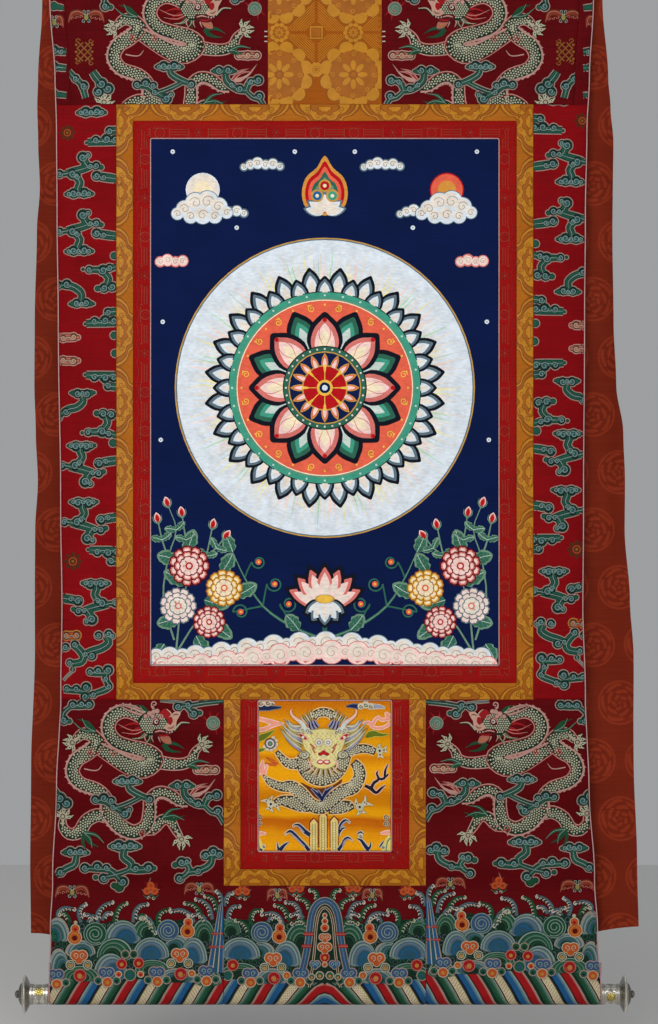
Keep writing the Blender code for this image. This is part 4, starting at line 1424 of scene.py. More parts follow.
def paw(sew, leg, turn, size=11.0, layer=5):
    """A wrist beyond the end of a leg, a palm and five knuckled fingers, spread round a direction."""
    (x0, y0), (x1, y1) = leg[-2:]
    reach = math.hypot(x1 - x0, y1 - y0)
    x, y = palm = (x1 + (x1 - x0) / reach * 2.5, y1 + (y1 - y0) / reach * 2.5)
    sew.ribbon([(x0, y0), (x1, y1), palm], [1.0, 3.4, 4.4], "ivory", layer, bend=False)
    for finger in range(5):
        angle = math.radians(turn + (finger - 2) * 44)
        bend = angle + math.radians(34 if finger < 3 else -34)
        middle = (x + 0.58 * size * math.cos(angle), y + 0.58 * size * math.sin(angle))
        tip = (middle[0] + 0.46 * size * math.cos(bend), middle[1] + 0.46 * size * math.sin(bend))
        sew.ribbon([palm, middle, tip], [3.8, 4.0, 1.6], "deep", layer)
        sew.ribbon([palm, middle, tip], [2.8, 2.9, 0.6], "ivory", layer + 1)
        sew.spot(*middle, 1.9, "scale", layer + 2, sides=8)
        sew.spot(*middle, 0.8, "deep", layer + 3, sides=6)
    sew.spot(x, y, 3.6, "ivory", layer + 1)
    sew.ring(x, y, 2.2, 0.8, "deep", layer + 3, sides=8)


def dragon_mane(sew):
    """Its horn, its mane and the curls of its brow."""
    for drop in (0.0, 3.6):
        horn = [(148, 716.5 - drop * 0.4), (138, 714 - drop), (128, 710.5 - drop), (119.5, 706 - drop * 0.5)]
        sew.ribbon(horn, [3.6, 3.0, 2.4, 0.8], "wine", 6)
        sew.ribbon(horn, [2.4, 2.0, 1.4, 0.5], "spine", 7)
    tuft(sew, (148, 713), "131,704.5 135,705 140,706.5", "green", 6, 3.4, light="scale")
    tuft(sew, (148, 727), "118,724 119,728 122,732 127,736 134,739", "red", 6, 3.0, light="spine")
    tuft(sew, (150, 731), "132,738 138,741.5 145,743.5 151,743", "green", 6, 3.6, light="scale")
    for index, x in enumerate((146, 149.5, 153, 156.5, 160)):
        strand = [(x, 732), (x - 1.5, 737), (x + 0.5, 742)]
        sew.ribbon(strand, [1.8, 1.5, 0.4], ("spine", "wine")[index % 2], 6)


def dragon_snout(sew):
    """A raised snout over an open mouth, the jaw, a whisker and the beard."""
    snout = """167.5,719.5 170.5,715.5 175.5,711.6 180.5,712.6 179,717 176.6,721 175.8,726
        172,730.6 166,729.4 164,726 167.5,723.6"""
    sew.patch(snout, "blush", 9, rim=0.7)
    sew.patch("167.6,718.6 171.4,717 172.8,721 170.4,724.6 167.6,722.6", "red", 10)
    sew.ribbon("173,715.6 176,714.4 178.4,715.2", [0.6, 1.0, 0.5], "wine", 11)
    sew.ribbon("168,727.4 171.6,727.6 174,725.4", [0.5, 1.0, 0.5], "wine", 11)
    sew.patch("153,730 160,728.4 168,730.4 172.6,731 170,736 162,737 154,734", "wine", 9, rim=0.6)
    sew.ribbon("155,731.6 160,730.2 165,731.4", [1.0, 1.6, 0.8], "spine", 10)
    sew.ribbon("159,734.6 165,735 170,732.6", [1.2, 1.8, 0.8], "red", 10)
    sew.scatter("166.6,731.6 169.6,732 172,731.4", 1.1, "white", 11, sides=3, turn=90)
    sew.patch("160,736.4 165,735.4 169.6,736.4 171.4,742.8 166.5,743.2 162,740.6", "salmon", 9, rim=0.7)
    sew.ribbon("162,738.6 166,739.2 170,741.8", [0.5, 1.0, 0.5], "amber", 10)
    sew.spiral(154.2, 704.0, 3.5, "spine", 8, 1.2, 90, 1.2)
    sew.ribbon("151,706 152.6,708.6 156.4,710", [1.0, 1.3, 1.0], "spine", 8)
    whisker = path("174,729.8 178,725.2 182,722.4 189.5,722.8")
    sew.ribbon([(x + 0.3, y + 0.9) for x, y in whisker], [2.2, 1.8, 1.6, 0.8], "deep", 9)
    sew.ribbon(whisker, [1.8, 1.5, 1.2, 0.7], "ivory", 10)
    tuft(sew, (163, 744), "184,748.5 181,752 177,745.5 172,752", "green", 6, 4.0, light="leaf")


def dragon_head(sew):
    """Its head looks right with an open mouth."""
    dragon_mane(sew)
    sew.patch("138,720 143,714 151,710.5 160,712 167,718 168,725 162,732 150,735 141,729", "deep", 7, rim=0.8)
    dots = []
    for row, y in enumerate(np.arange(715, 733, 2.1)):
        row_dots = np.arange(140, 167, 2.4) + (row % 2) * 1.2
        dots += [(x, y) for x in row_dots if ((x - 153) / 14) ** 2 + ((y - 723) / 10) ** 2 < 1]
    sew.scatter(dots, 1.05, "scale", 8)
    for x, y, reach in path("145.5,716.5,2 149.4,713.8,2.4 153.4,712,2.2 157,711.4,2.4 152.6,716.4,2"):
        sew.spot(x, y, reach + 0.5, "wine", 9)
        sew.spot(x, y, reach, "spine", 10)
    sew.spiral(161.0, 717.4, 2.8, "spine", 10, 1.2, 180, 1.1)
    sew.spot(155.8, 721.4, 4.2, "wine", 9)
    sew.spiral(155.8, 721.4, 3.7, "spine", 10, 1.0, 160, 1.1)
    sew.spot(156.2, 721.6, 2.0, "white", 10)
    sew.spot(156.6, 721.6, 1.0, "dark", 11, sides=8)
    sew.patch("159.5,713.5 164,709 168.5,710.4 171.5,715 169,719.5 163,717.5", "red", 8, rim=0.6)
    sew.ribbon("166.5,709.2 170.3,712.6 171.8,716", [0.6, 1.2, 0.8], "ivory", 10)
    dragon_snout(sew)


def dragon(sew):
    leg_right = path("158,762 170,764 182,764 191,760 194.5,752 200,746")
    leg_rear = path("140,828 152,829 162,820 170,821 176,831 180,837")
    leg_left = path("106,817 97,815 86,821 79,832 69,834 62.5,827 62.5,819")
    arm = path("100,744 92,735 82,734 74,741")
    loins = """100,742 88,753 77,760 72.5,772 80,783 97,789 107,799 109,812 120,826 134,832 146,825
        149,810 149.5,799 158,791.5 169,793 179,800 188,802"""
    loin_widths = [12, 13, 13, 12, 11, 11, 11, 13, 14, 13, 12, 11, 10, 9.5, 9.5, 9, 6]
    body = """146,723 137,715 124,711.5 112.5,717 108.5,729 116,741 132,747 147,751 155,760 144,769
        128,766 112,757 97,748"""
    body_widths = [9, 11, 11.5, 12, 12, 12.5, 13, 14, 17, 17, 15, 13, 10]
    scaled_ribbon(sew, leg_right, [12, 11, 10, 9, 7, 5])
    scaled_ribbon(sew, leg_rear, [10, 11, 10, 9, 7, 5], belly=1)
    scaled_ribbon(sew, leg_left, [11, 12, 12, 12, 10, 8, 5], belly=1)
    scaled_ribbon(sew, loins, loin_widths, 1, spines=1)
    scaled_ribbon(sew, arm, [13, 12, 10, 6], 1, belly=1)
    scaled_ribbon(sew, body, body_widths, 2, spines=1)
    for x, y, hand in ((91.5, 751.5, 1), (112, 752, -1), (143, 832.5, 1)):
        sew.spiral(x, y, 4.0, "red", 6, 1.4, 90, 1.0, hand)
        sew.spiral(x, y, 4.9, "spine", 6, 1.0, 90, 0.7, hand)
    sew.ribbon("84,769 92,770.5 98,770 102,765", [1.2, 1.1, 1.0, 0.5], "spine", 4)
    tuft(sew, (95, 731), "73,722 77,719.5 82,718.5 84,724", "green", 5, 3.6)
    tuft(sew, (188, 765), "209,763 203,766.5 199,770", "green", 4, 4.2)
    tuft(sew, (163, 817), "181,808 185,815 184,820", "green", 4, 4.2)
    tuft(sew, (84, 833), "104,843 99,847 92,848 87,851", "green", 5, 4.2)
    tuft(sew, (190, 795), "208,783 215,779 212,786 206,790 201,788", "spine", 4, 3.0, light="red")
    for leg, turn, size in ((arm, 165, 10), (leg_right, -25, 11), (leg_left, -80, 11), (leg_rear, 70, 11)):
        paw(sew, leg, turn, size)
    dragon_head(sew)


# %% Pearls, bats and knots
def pearl(sew, x, y):
    """A flaming pearl."""
    for turn in (-160, -120, -75, 20, 60):
        angle = math.radians(turn)
        foot = (x + 5.5 * math.cos(angle), y + 5.5 * math.sin(angle))
        tip = (x + 12.5 * math.cos(angle + 0.25), y + 12.5 * math.sin(angle + 0.25))
        sew.ribbon([foot, tip], [2.0, 0.3], "red", 0)
    sew.spot(x, y, 7.0, "pale", 1, sides=16)
    sew.spot(x, y, 6.2, "fern", 2, sides=16)
    sew.spiral(x, y, 4.6, "mist", 3, 1.6, 0, 0.7)
    sew.spiral(x + 1.6, y + 2.2, 2.0, "salmon", 4, 1.0, 40, 0.7)


def bat(sew, x, y, half):
    """A small bat, a sign of good luck, with scalloped wings and curled feelers."""
    for side in (-1, 1):
        far = side * half
        wing = [(x, y + 1), (x + 0.36 * far, y - 4), (x + 0.78 * far, y - 3), (x + far, y + 6)]
        sew.ribbon(wing, [4.0, 6.6, 6.2, 0.8], "umber", 0)
        sew.ribbon(wing, [2.6, 5.0, 4.8, 0.5], "russet", 1)
        sew.ribbon([(a, b - 1.2) for a, b in wing], [0.4, 1.0, 0.9, 0.3], "salmon", 2)
        for share, drop in ((0.30, 0.2), (0.54, 1.0), (0.78, 1.6)):
            sew.spiral(x + share * far, y + drop, 1.9, "salmon", 2, 0.8, 0, 0.7, side)
        for drop, start in ((-5.2, 90), (4.4, -90)):
            sew.spiral(x + side * 2.4, y + drop, 2.0, "mist", 3, 1.0, start, 0.7, side)
    sew.spot(x, y, 3.2, "deep", 2, squash=1.4)
    sew.spot(x, y + 0.4, 2.2, "khaki", 3, squash=1.4)
    sew.scatter([(x - 1.1, y - 2.4), (x + 1.1, y - 2.4)], 0.8, "ivory", 4)


def flaming_jewel(sew, x, y):
    """Three round jewels in a flame, on two small curls."""
    tips = [(x - 9, y + 1), (x - 6, y - 7), (x, y - 11), (x + 6, y - 7), (x + 9, y + 1)]
    tuft(sew, (x, y + 4), tips, "rust", 0, 5)
    for dx, dy in ((-3.8, 2.6), (3.8, 2.6), (0, -3.0)):
        for index, (radius, colour) in enumerate(((4.4, "rust"), (3.7, "orange"), (1.8, "brick"))):
            sew.spot(x + dx, y + dy, radius, colour, 1 + index, sides=8 if index == 2 else 12)
    for side in (-1, 1):
        sew.ribbon([(x, y + 6), (x + side * 4, y + 9), (x + side * 8, y + 6.5)], [1.6, 1.6, 0.6], "leaf", 1)
        sew.spiral(x + side * 2.4, y + 9.6, 1.8, "scale", 2, 0.9, 0, 0.6, side)


def endless_knot(sew, x, y):
    """The endless knot: slanting bands that turn back at its sides, with a curl at each corner."""
    for way in (-1, 1):
        for shift in (-10.5, -3.5, 3.5, 10.5):
            start, end = max(-7.5, -9.5 - shift), min(7.5, 9.5 - shift)
            ends = [(x + start, y + way * (start + shift)), (x + end, y + way * (end + shift))]
            sew.bar(*ends, 2.6, "wine", 0)
            sew.bar(*ends, 1.2, "ochre", 1 + (way > 0))
        for drop in (-7, 0, 7):
            sew.spot(x + way * 8, y + drop, 1.5, "ochre", 1, sides=6)
        for corner in (-1, 1):
            sew.spiral(x + way * 6.5, y + corner * 11, 2.6, "ochre", 1, 1.0, 0, 0.9, way)


# %% One repeat of the weave
UPPER_CLOUDS = (
    """72.4,705,5.4 81,704.3,5.2 88.6,704.5,5.6 63.5,720.5,5.6 69,721.5,3.4
    | 6 70,706 80,706 92,705 | 4.6 70,707 63.5,713 62,720""",
    """178,706.8,5.6 188,705,5.2 193.5,713.5,5.8 199.5,713,3.4
    | 4.6 176,707 190,705.5 204,703 224,701 | 5.2 186,706 190,710 193,714 | 2.6 160,700.5 176,702 190,704""",
)
MIDDLE_CLOUDS = (
    """@127.4,780.6,15 149.5,798.5,5.2 95.5,799,5.2 104,797.6,6 111.5,800,4.8 124.6,813,6.4
    113,806.5,4.8 129,809,4 | 5.4 128,784 130,789 138,794 148,798 | 4.4 140,797 130,802 120,806 113,807
    | 6 93,800 104,800 112,805 123,812""",
    """@182,785,13.5 198,803,5.2 216.5,794.5,5.8 209,796,4.6 217.5,810.5,5.4 190,799,4.4
    | 6 183.5,788 185.5,796 196,803.5 206,805 | 5.6 204,805 208,797 219,793.5
    | 4.6 204,805 211,811.5 218,814 224,824""",
    """60,798,6.6 66.5,803,6.4 57,806,6 34,792.5,4.8 42,800,5.6
    | 5.4 27,785 32,791 40,799 44,812 | 6.4 51,786 55,792 62,800""",
)
LOWER_CLOUDS = (
    """@124.5,845.5,17 135.5,868,5.6 148.3,867.3,6 154,867.8,3.2 84.8,867.6,5.6 97.3,866.2,5.8
    106.5,867.4,4.8 103.5,878,5.8 95.5,877,3.4 122.5,881.5,6.2
    | 6.2 124.5,849 123.4,856.7 131,863 130,869 | 6.4 128,869 140,869.5 152,868
    | 5.4 81,867.6 96,868.5 108,869.5 115,874 122,882 | 4.8 130,869 120,873 112,875 100,878""",
    "@75.2,851.7,14.6 60.5,872,5.4 | 5.6 76.5,855 74.5,864 66,868.5 56,875",
    """205.5,855,5.6 213,851.5,6 219,854,5.2 181.5,862,6 175,864.5,3.8 198,870.4,5.2 179.4,878,5.6
    187,861,4.2 | 5.6 212,856 210.5,863 204,868 194,871 186,872 | 5 184,862 189,868 186,874 178,879
    | 6 201,856 222,854""",
)


def clouds(sew, charts):
    for chart in charts:
        cloud(sew, chart)


def dragon_brocade(sew):
    """The dragon, its pearl and the clouds round them. The middle clouds wind over its body."""
    clouds(sew, UPPER_CLOUDS + LOWER_CLOUDS)
    dragon(sew)
    pearl(sew, 213, 723)
    cloud(sew, "197,770,4.6 206,770,5.2 215,770,4.8 | 6.6 197,770 215,770", SALMON)
    sew.base = 7
    clouds(sew, MIDDLE_CLOUDS)
    sew.base = 0


# %% Weave the head
HEAD_SHIFT = (41.5, -714.0)
HEAD_TOP_SHIFT = (41.5, -890.0)
SEAM_STITCHES = (32, 37, 42)
STRIP_CLOUDS = ((-30, 8.0), (6, 5.0), (50, 6.0), (66, 5.6), (93, 5.0))


def weave_head(side):
    sew = Needle(panels[f"head_{side}"])
    sew.place(*HEAD_TOP_SHIFT, side=side)
    clouds(sew, LOWER_CLOUDS)
    sew.place(*HEAD_SHIFT, side=side)
    dragon_brocade(sew)
    sew.place(side=side)
    bat(sew, 86, 17, 18)
    endless_knot(sew, 84, 52)
    for y in SEAM_STITCHES:
        sew.bar((264, y), (269, y), 1.1, "white", 6)
    sew.finish(f"head_{side}_dragon", threads_finish, "red_brocade")
    strip = Needle(panels[f"head_strip_{side}"])
    strip.place(side=side)
    for y, reach in STRIP_CLOUDS:
        lobes = f"53.5,{y},{reach} 61,{y + 1.5},{reach * 0.7}"
        cloud(strip, f"{lobes} | {reach} 50,{y} 66,{y + 2}", curls=reach > 5)
    bat(strip, 54, 22, 9)
    strip.finish(f"head_strip_{side}_clouds", threads_finish, "red_brocade")


for side in ("left", "right"):
    weave_head(side)

# %% [markdown]
# ## The sea at the foot
# Old court silks end in a sea: round waves with foam crests, rocks that stand up out of it, strings of
# jewels, and slanting stripes of deep water that run on round the roller. Each kind of wave is one small
# function, and charts say where each one stands.

# %% Waves, jewels and rocks
WAVES = {
    # a wave's bands of colour, from the outer one to its heart
    "blue": "deep mist steel mist steel sky steel sea sea blue sea",
    "green": "deep mist green leaf fern green leaf fern deep green deep",
    "grey": "deep pale mist steel mist steel teal steel sea teal deep",
}


def crest(sew, points, green=False, layer=2):
    """A finger of foam: a tapered arm with a hooked tip and small hooks along its inner side."""
    body, foam = ("green", "scale") if green else ("steel", "white")
    sew.ribbon(points, [4.8, 3.8, 2.6, 1.4], "deep", layer)
    sew.ribbon(points, [3.6, 2.6, 1.6, 0.8], body, layer + 0.6)
    line, _ = even_line(smooth_line(points), 3.9)
    side = 1 if points[-1][0] > points[0][0] else -1
    for x, y in offset_line(line, 2.6 * side)[1:]:
        sew.spot(x, y, 1.7, "deep", layer + 1.4, sides=8)
        sew.spiral(x, y, 1.5, foam, layer + 2, 0.7, 200 if side > 0 else -20, 0.75, side)
    tip = points[-1]
    sew.spiral(tip[0], tip[1] + 1.8, 2.3, foam, layer + 2, 0.8, -90, 0.95, side)


def dome(sew, kind, x, y, half, rise, lean, row):
    """A round wave as bands of half ovals. lean slides its heart aside, and lower rows lie on higher ones."""
    colours = WAVES[kind].split()
    sew.puff = 0.12
    for index, colour in enumerate(colours):
        share = 1 - 0.045 * (index > 0) - max(index - 1, 0) * 0.75 / len(colours)
        turns = np.linspace(math.pi, 2 * math.pi, 14)
        middle = x + lean * half * (1 - share)
        line = [(middle + half * share * math.cos(t), y + rise * share * math.sin(t)) for t in turns]
        line += [(middle + half * share * 0.7, y + 3.0), (middle - half * share * 0.7, y + 3.0)]
        sew.patch(line, colour, 2.8 + 1.7 * row + index * 0.14, bend=False, rim=0.25)
    sew.puff = 0.7


def coil(sew, x, y, radius, colour, layer=5):
    """A wave that has rolled into a ball."""
    for shrink, shade, step in ((0.0, "deep", 0), (0.5, "mist", 0.4), (1.3, colour, 0.8)):
        sew.spot(x, y, radius - shrink, shade, layer + step, sides=20)
    sew.spiral(x, y, radius - 2.6, "deep", layer + 1.2, 2.4, 60, 2.0)
    sew.spiral(x, y, radius - 2.6, "mist", layer + 1.8, 2.4, 60, 0.9)


def bead(sew, x, y, radius, colour, rim="ivory", heart=None, layer=10):
    sew.spot(x, y, radius, rim, layer)
    sew.spot(x, y, radius - 1.0, colour, layer + 1)
    if heart:
        sew.spot(x, y + 0.5, radius * 0.36, heart, layer + 2, sides=8)


def gourd(sew, x, y):
    """A stack of three jewels."""
    bead(sew, x + 1, y - 15, 1.9, "ivory")
    bead(sew, x + 0.7, y - 8.8, 4.9, "orange", heart="red")
    bead(sew, x, y, 7.6, "orange", heart="wine")
    sew.ring(x, y, 4.6, 1.0, "amber", 12)


def scepter_head(sew, x, y, radius, colour, mark="ivory", rim="ivory", layer=10):
    """A rounded head with two curls."""
    for index, (shade, shrink) in enumerate(((rim, 0), (colour, 1.0))):
        for side in (-1, 1):
            sew.spot(x + side * 0.38 * radius, y, 0.68 * radius - shrink, shade, layer + index)
        sew.spot(x, y + 0.55 * radius, 0.5 * radius - shrink * 0.8, shade, layer + index)
    for side in (-1, 1):
        sew.spiral(x + side * 0.42 * radius, y, 0.36 * radius, mark, layer + 2, 1.1, 90, 0.8, side)


def tied_band(sew, start, end, width, line, layer):
    """A red band with a pale line along its middle."""
    sew.bar(start, end, width, "red", layer)
    sew.bar(start, end, line, "salmon", layer + 1)


def rock(sew, top, foot, width_top, width_foot, layer=9):
    """A striped rock: a tall wedge of blue with white edges and two red cross bands."""
    (top_x, top_y), (foot_x, foot_y) = top, foot
    bands = ((1.0, "deep", 0), (0.92, "pale", 0.5), (0.76, "blue", 1), (0.34, "ivory", 2), (0.22, "sea", 3))
    for share, colour, step in bands:
        high, low = width_top * share / 2, width_foot * share / 2
        outline = [(top_x - high, top_y), (top_x, top_y - 2.5 * share), (top_x + high, top_y)]
        outline += [(foot_x + low, foot_y), (foot_x - low, foot_y)]
        sew.patch(outline, colour, layer + step * 0.6, bend=False, rim=0.2)
    for share in (0.42, 0.62):
        x, y = top_x + (foot_x - top_x) * share, top_y + (foot_y - top_y) * share
        reach = (width_top + (width_foot - width_top) * share) / 2 + 1.4
        tied_band(sew, (x - reach, y), (x + reach, y), 2.6, 0.7, layer + 3)


# %% Stripes of deep water
STRIPE_TOP, STRIPE_ROLL, STRIPE_FOOT = 979.0, 1006.0, 1062.0
STRIPE_REACH = 11.6
FIRST_STRIPE = 52.6
ARCH_REACH = 11.0
STRIPE_SHADES = {
    # the bands of one stripe, each with the share of the stripe where it starts
    "green": ((0.0, "mist"), (0.08, "fern"), (0.26, "leaf"), (0.45, "green"), (0.72, "deep")),
    "red": ((0.0, "pale"), (0.12, "salmon"), (0.22, "red"), (0.85, "wine")),
    "blue": ((0.0, "mist"), (0.16, "sky"), (0.34, "blue"), (0.84, "navy")),
    "cream": ((0.0, "deep"), (0.12, "khaki"), (0.20, "cream"), (0.86, "umber")),
}


def stripe_edge(foot_x):
    """A line of slanting water, from below the roller up to the sea or to the mount's middle."""
    lean = 0.60 + 0.36 * float(ease((foot_x - 262) / 34))
    line = []
    for y in np.linspace(STRIPE_FOOT, STRIPE_TOP, 12):
        rise = (STRIPE_ROLL - y) / (STRIPE_ROLL - STRIPE_TOP)
        line.append((foot_x + lean * (STRIPE_ROLL - STRIPE_TOP) * (0.82 * rise + 0.18 * rise * abs(rise)), y))
    kept = [point for point in line if point[0] < GRID_MIDDLE]
    if kept and len(kept) < len(line):
        (x0, y0), (x1, y1) = kept[-1], line[len(kept)]
        kept.append((GRID_MIDDLE, y0 + (y1 - y0) * (GRID_MIDDLE - x0) / (x1 - x0)))
    near = [max(ARCH_REACH - (GRID_MIDDLE - x), 0) for x, _ in kept]
    return [(x, y + away**2 / (2 * ARCH_REACH)) for (x, y), away in zip(kept, near)]


def stripes(sew, start, end):
    """The stripes of one width of cloth: green, red, blue and cream in turn."""
    for index in range(-3, 32):
        left = FIRST_STRIPE + index * STRIPE_REACH
        kind = ("green", "red", "blue", "cream")[index % 4]
        if left + 36 < start or left > end:
            continue
        shades = STRIPE_SHADES[kind]
        for (share, colour), after in zip(shades, [share for share, _ in shades[1:]] + [1.0]):
            near, far = stripe_edge(left + share * STRIPE_REACH), stripe_edge(left + after * STRIPE_REACH)
            if len(near) > 1 and len(far) > 1:
                sew.patch(near + far[::-1], colour, 0.5, bend=False, rim=0.12)
        for row, share in enumerate((0.30, 0.44, 0.58, 0.72) if kind == "cream" else ()):
            line, _ = even_line(np.array(stripe_edge(left + share * STRIPE_REACH)), 1.6)
            for stitch in list(zip(line, line[1:]))[row % 2 :: 2]:
                sew.bar(*stitch, 0.7, "khaki", 1.4)


# %% The sea of the outer widths and of the middle
SIDE_CRESTS = """
58,918 58,911 65,907 74,908 | 81,922 78,913 80,907 85,903 | 98,922 97,913 103,905 112,901
| 93,925 92,918 89,914 85,913 | green 114,924 115,914 119,906 126,902 | 133,922 134,912 139,905 147,903
| green 152,932 152,924 147,919 141,917 | green 158,926 157,917 161,911 169,908
| 194,922 190,914 181,909 171,910 | green 203,921 200,911 194,904 185,902
| 212,919 210,908 204,901 196,898 | green 218,913 216,903 212,897 205,895
| green 70,922 68,916 64,912 60,913 | 88,922 90,917 93,915 96,916 | 102,920 104,915 107,912 111,912
| 136,917 147,917 153,923 155,931 | green 137,920 139,916 142,914 145,915
| 207,924 204,917 198,913 193,914 | 222,905 222,899 220,893 217,890
"""
MIDDLE_CRESTS = """
227,922 228,912 232,906 239,905 | green 250,934 247,926 242,921 236,919
| green 251,924 250,916 254,910 261,909 | 283,924 279,916 272,912 262,913
| green 289,921 287,912 282,906 275,904 | 301,922 300,911 295,903 286,901
| green 310,912 309,904 304,899 297,897 | green 316,903 318,896 315,890 310,889
| 224,906 225,899 228,893 232,892 | 303,918 300,914 296,912 291,914
| green 307,925 303,920 297,919 292,922 | 268,922 270,917 274,915 278,917
"""
# kind, x, y, half width, rise, lean, row
SIDE_DOMES = """
grey 58,938,13,22,-0.6,0 | green 144,934,13,16,0.5,0 | blue 122,940,19,21,0.4,0 | green 203,938,12,20,0.2,0
| grey 178,948,14,14,-0.5,1 | grey 80,953,16,14,0.3,1 | green 115,957,19,20,-0.3,1 | blue 151,956,19,20,0,2
| blue 194,960,14,24,-0.4,2 | grey 58,971,11,24,0.8,2 | green 152,970,18,11,0,2 | blue 110,976,18,24,0.5,2
| green 80,978,20,13,0,3 | grey 178,979,22,12,0,3 | green 208,982,14,15,0,3
"""
MIDDLE_DOMES = """
green 228,932,13,15,0.4,0 | green 299,944,15,22,0.2,0 | grey 262,953,14,12,-0.5,1 | blue 240,956,21,20,0,2
| blue 287,963,15,24,-0.4,2 | green 240,974,20,12,0,2 | grey 272,980,18,13,0,3 | green 304,982,14,13,0,3
"""


def sea(sew, left, right, stripes_from, stripes_to, crests, domes):
    """The stripes, the dark water with rows of small scales, and the waves on it."""
    rim = [(x, 921 + 2 * math.sin(x / 5)) for x in np.linspace(left, right, 24)]
    sew.patch([(left, 984)] + rim + [(right, 984)], "deep", 0, bend=False, rim=0.3)
    for x in np.arange(left + 4, right, 7.0):
        for row, y in enumerate(range(926, 978, 6)):
            thread = ("leaf", "steel", "fern")[(row + round(x / 21)) % 3]
            sew.ring(x + 3.5 * (row % 2), y, 2.6, 0.7, thread, 1, sides=8)
    stripes(sew, stripes_from, stripes_to)
    for chart in crests.split("|"):
        crest(sew, path(chart.replace("green", "")), "green" in chart)
    for chart in domes.split("|"):
        kind, numbers = chart.split()
        dome(sew, kind, *path(numbers)[0])


def jewel_groups(sew, orange_heads, blue_heads, beads):
    """The orange heads with their knots and ovals, and the blue heads with their beads."""
    for x, y in path(orange_heads):
        for side in (-1, 1):
            bead(sew, x + side * 8.6, y + 9.5, 4.9, "teal", heart="amber")
            sew.ring(x + side * 8.6, y + 9.5, 2.6, 0.7, "ivory", 12, sides=8)
        bead(sew, x + 1, y + 20, 6.6, "red", "salmon", "amber")
        sew.spiral(x + 1, y + 20, 4.0, "salmon", 12, 1.2, 0, 0.7)
        scepter_head(sew, x, y, 8.6, "orange")
    for x, y in path(blue_heads):
        scepter_head(sew, x, y, 8.2, "denim", "mist", "pale")
    for x, y in path(beads):
        for side in (-1, 1):
            bead(sew, x + side * 9.2, y - 1.5, 4.4, "teal", "pale", "deep", 9.5)
        bead(sew, x, y, 5.6, "orange", heart="amber", layer=12)


def side_sea(sew):
    """The sea of the outer widths, from the edge to their seam."""
    sea(sew, 50, 226, 40, 290, SIDE_CRESTS, SIDE_DOMES)
    coil(sew, 95, 933.5, 12.2, "green")
    coil(sew, 168, 930, 11.4, "denim")
    gourd(sew, 74.6, 937)
    gourd(sew, 187.4, 930.6)
    rock(sew, (221.5, 905), (215, 972), 6.0, 19.0)
    for x in (125.2, 133.6):
        bead(sew, x, 954, 4.6, "green", "pale", "deep")
    for x, y in ((121.6, 963.6), (138.6, 962.6)):
        bead(sew, x, y, 5.6, "red", "salmon", "amber")
    bead(sew, 130, 974.4, 6.4, "teal", "pale", "sea")
    for x in (118.6, 140.6):
        bead(sew, x, 973.8, 3.6, "orange", heart="red")
    bead(sew, 191.6, 973, 4.0, "orange", heart="amber")
    blue_heads = "56,973.6 106.4,971.8 156.6,971.2 206.4,970.2"
    jewel_groups(sew, "79,955 179.6,953.4", blue_heads, "56.8,983.6 107.4,981.6 157.2,981 206.4,980.4")
    flaming_jewel(sew, 150.6, 888.4)
    bat(sew, 72, 892, 17)
    bat(sew, 199, 889, 15)
    cloud(sew, "119,887,5.6 114,885.5,4", "green pale dark mist", curls=False)


def middle_sea(sew):
    """One half of the sea of the middle width, up to the rock in its middle."""
    sea(sew, 222, 325, 200, 400, MIDDLE_CRESTS, MIDDLE_DOMES)
    coil(sew, 261.6, 932, 11.4, "denim")
    gourd(sew, 279, 936)
    bead(sew, 232.6, 964.6, 6.0, "red", "salmon", "amber")
    bead(sew, 227.6, 975, 5.6, "teal", "pale", "sea")
    bead(sew, 286.4, 975, 4.2, "orange", heart="amber")
    jewel_groups(sew, "272.8,957.6", "250,972.6 300.6,972.6", "250.4,981.8 299.8,981.8")
    flaming_jewel(sew, 242, 889)
    flaming_jewel(sew, 296, 886)
    bat(sew, 277, 895, 10)


def middle_rock(sew):
    """The arched rock of the middle, with a stack of jewels in its opening."""
    x = GRID_MIDDLE
    arch = path("-25,980 -19.5,958 -16,938 -13.5,917 -8.5,905 0,900.5")
    arch = [(x + across, y) for across, y in arch + [(-across, y) for across, y in reversed(arch[:-1])]]
    sew.patch(arch + [(x + 12, 982), (x - 12, 982)], "deep", 9, rim=0.3)
    sew.ribbon(arch, 7.4, "pale", 10)
    for index, (width, colour) in enumerate(((5.6, "sea"), (3.2, "denim"), (1.0, "sky"))):
        sew.ribbon(arch, width, colour, 11 + 0.6 * index)
    inner = [(x + (place - x) * 0.62, y + 7) for place, y in arch]
    sew.ribbon(inner, 2.6, "ivory", 10)
    sew.ribbon(inner, 1.2, "umber", 11)
    for y, reach in ((933.4, 16.5), (945.8, 18.5)):
        for side in (-1, 1):
            tied_band(sew, (x + side * (reach - 5.5), y), (x + side * (reach + 4.5), y), 3.4, 0.9, 13)
    for y, reach in ((915, 2.6), (920.5, 3.4), (927, 4.4)):
        bead(sew, x, y, reach, "orange", heart="red", layer=11)
    scepter_head(sew, x, 936.5, 6.0, "orange", layer=11)
    scepter_head(sew, x, 946.5, 7.4, "orange", layer=12)
    bead(sew, x, 957, 5.0, "red", "salmon", "amber", 11)
    bead(sew, x, 964, 3.0, "orange", layer=12)
    for side in (-1, 1):
        scepter_head(sew, x + side * 9.6, 963.4, 5.6, "blue", "mist", "pale", 11)
        bead(sew, x + side * 5, 975, 4.4, "teal", heart="amber", layer=12)
        bead(sew, x + side * 13, 976.5, 3.6, "teal", heart="amber", layer=12)


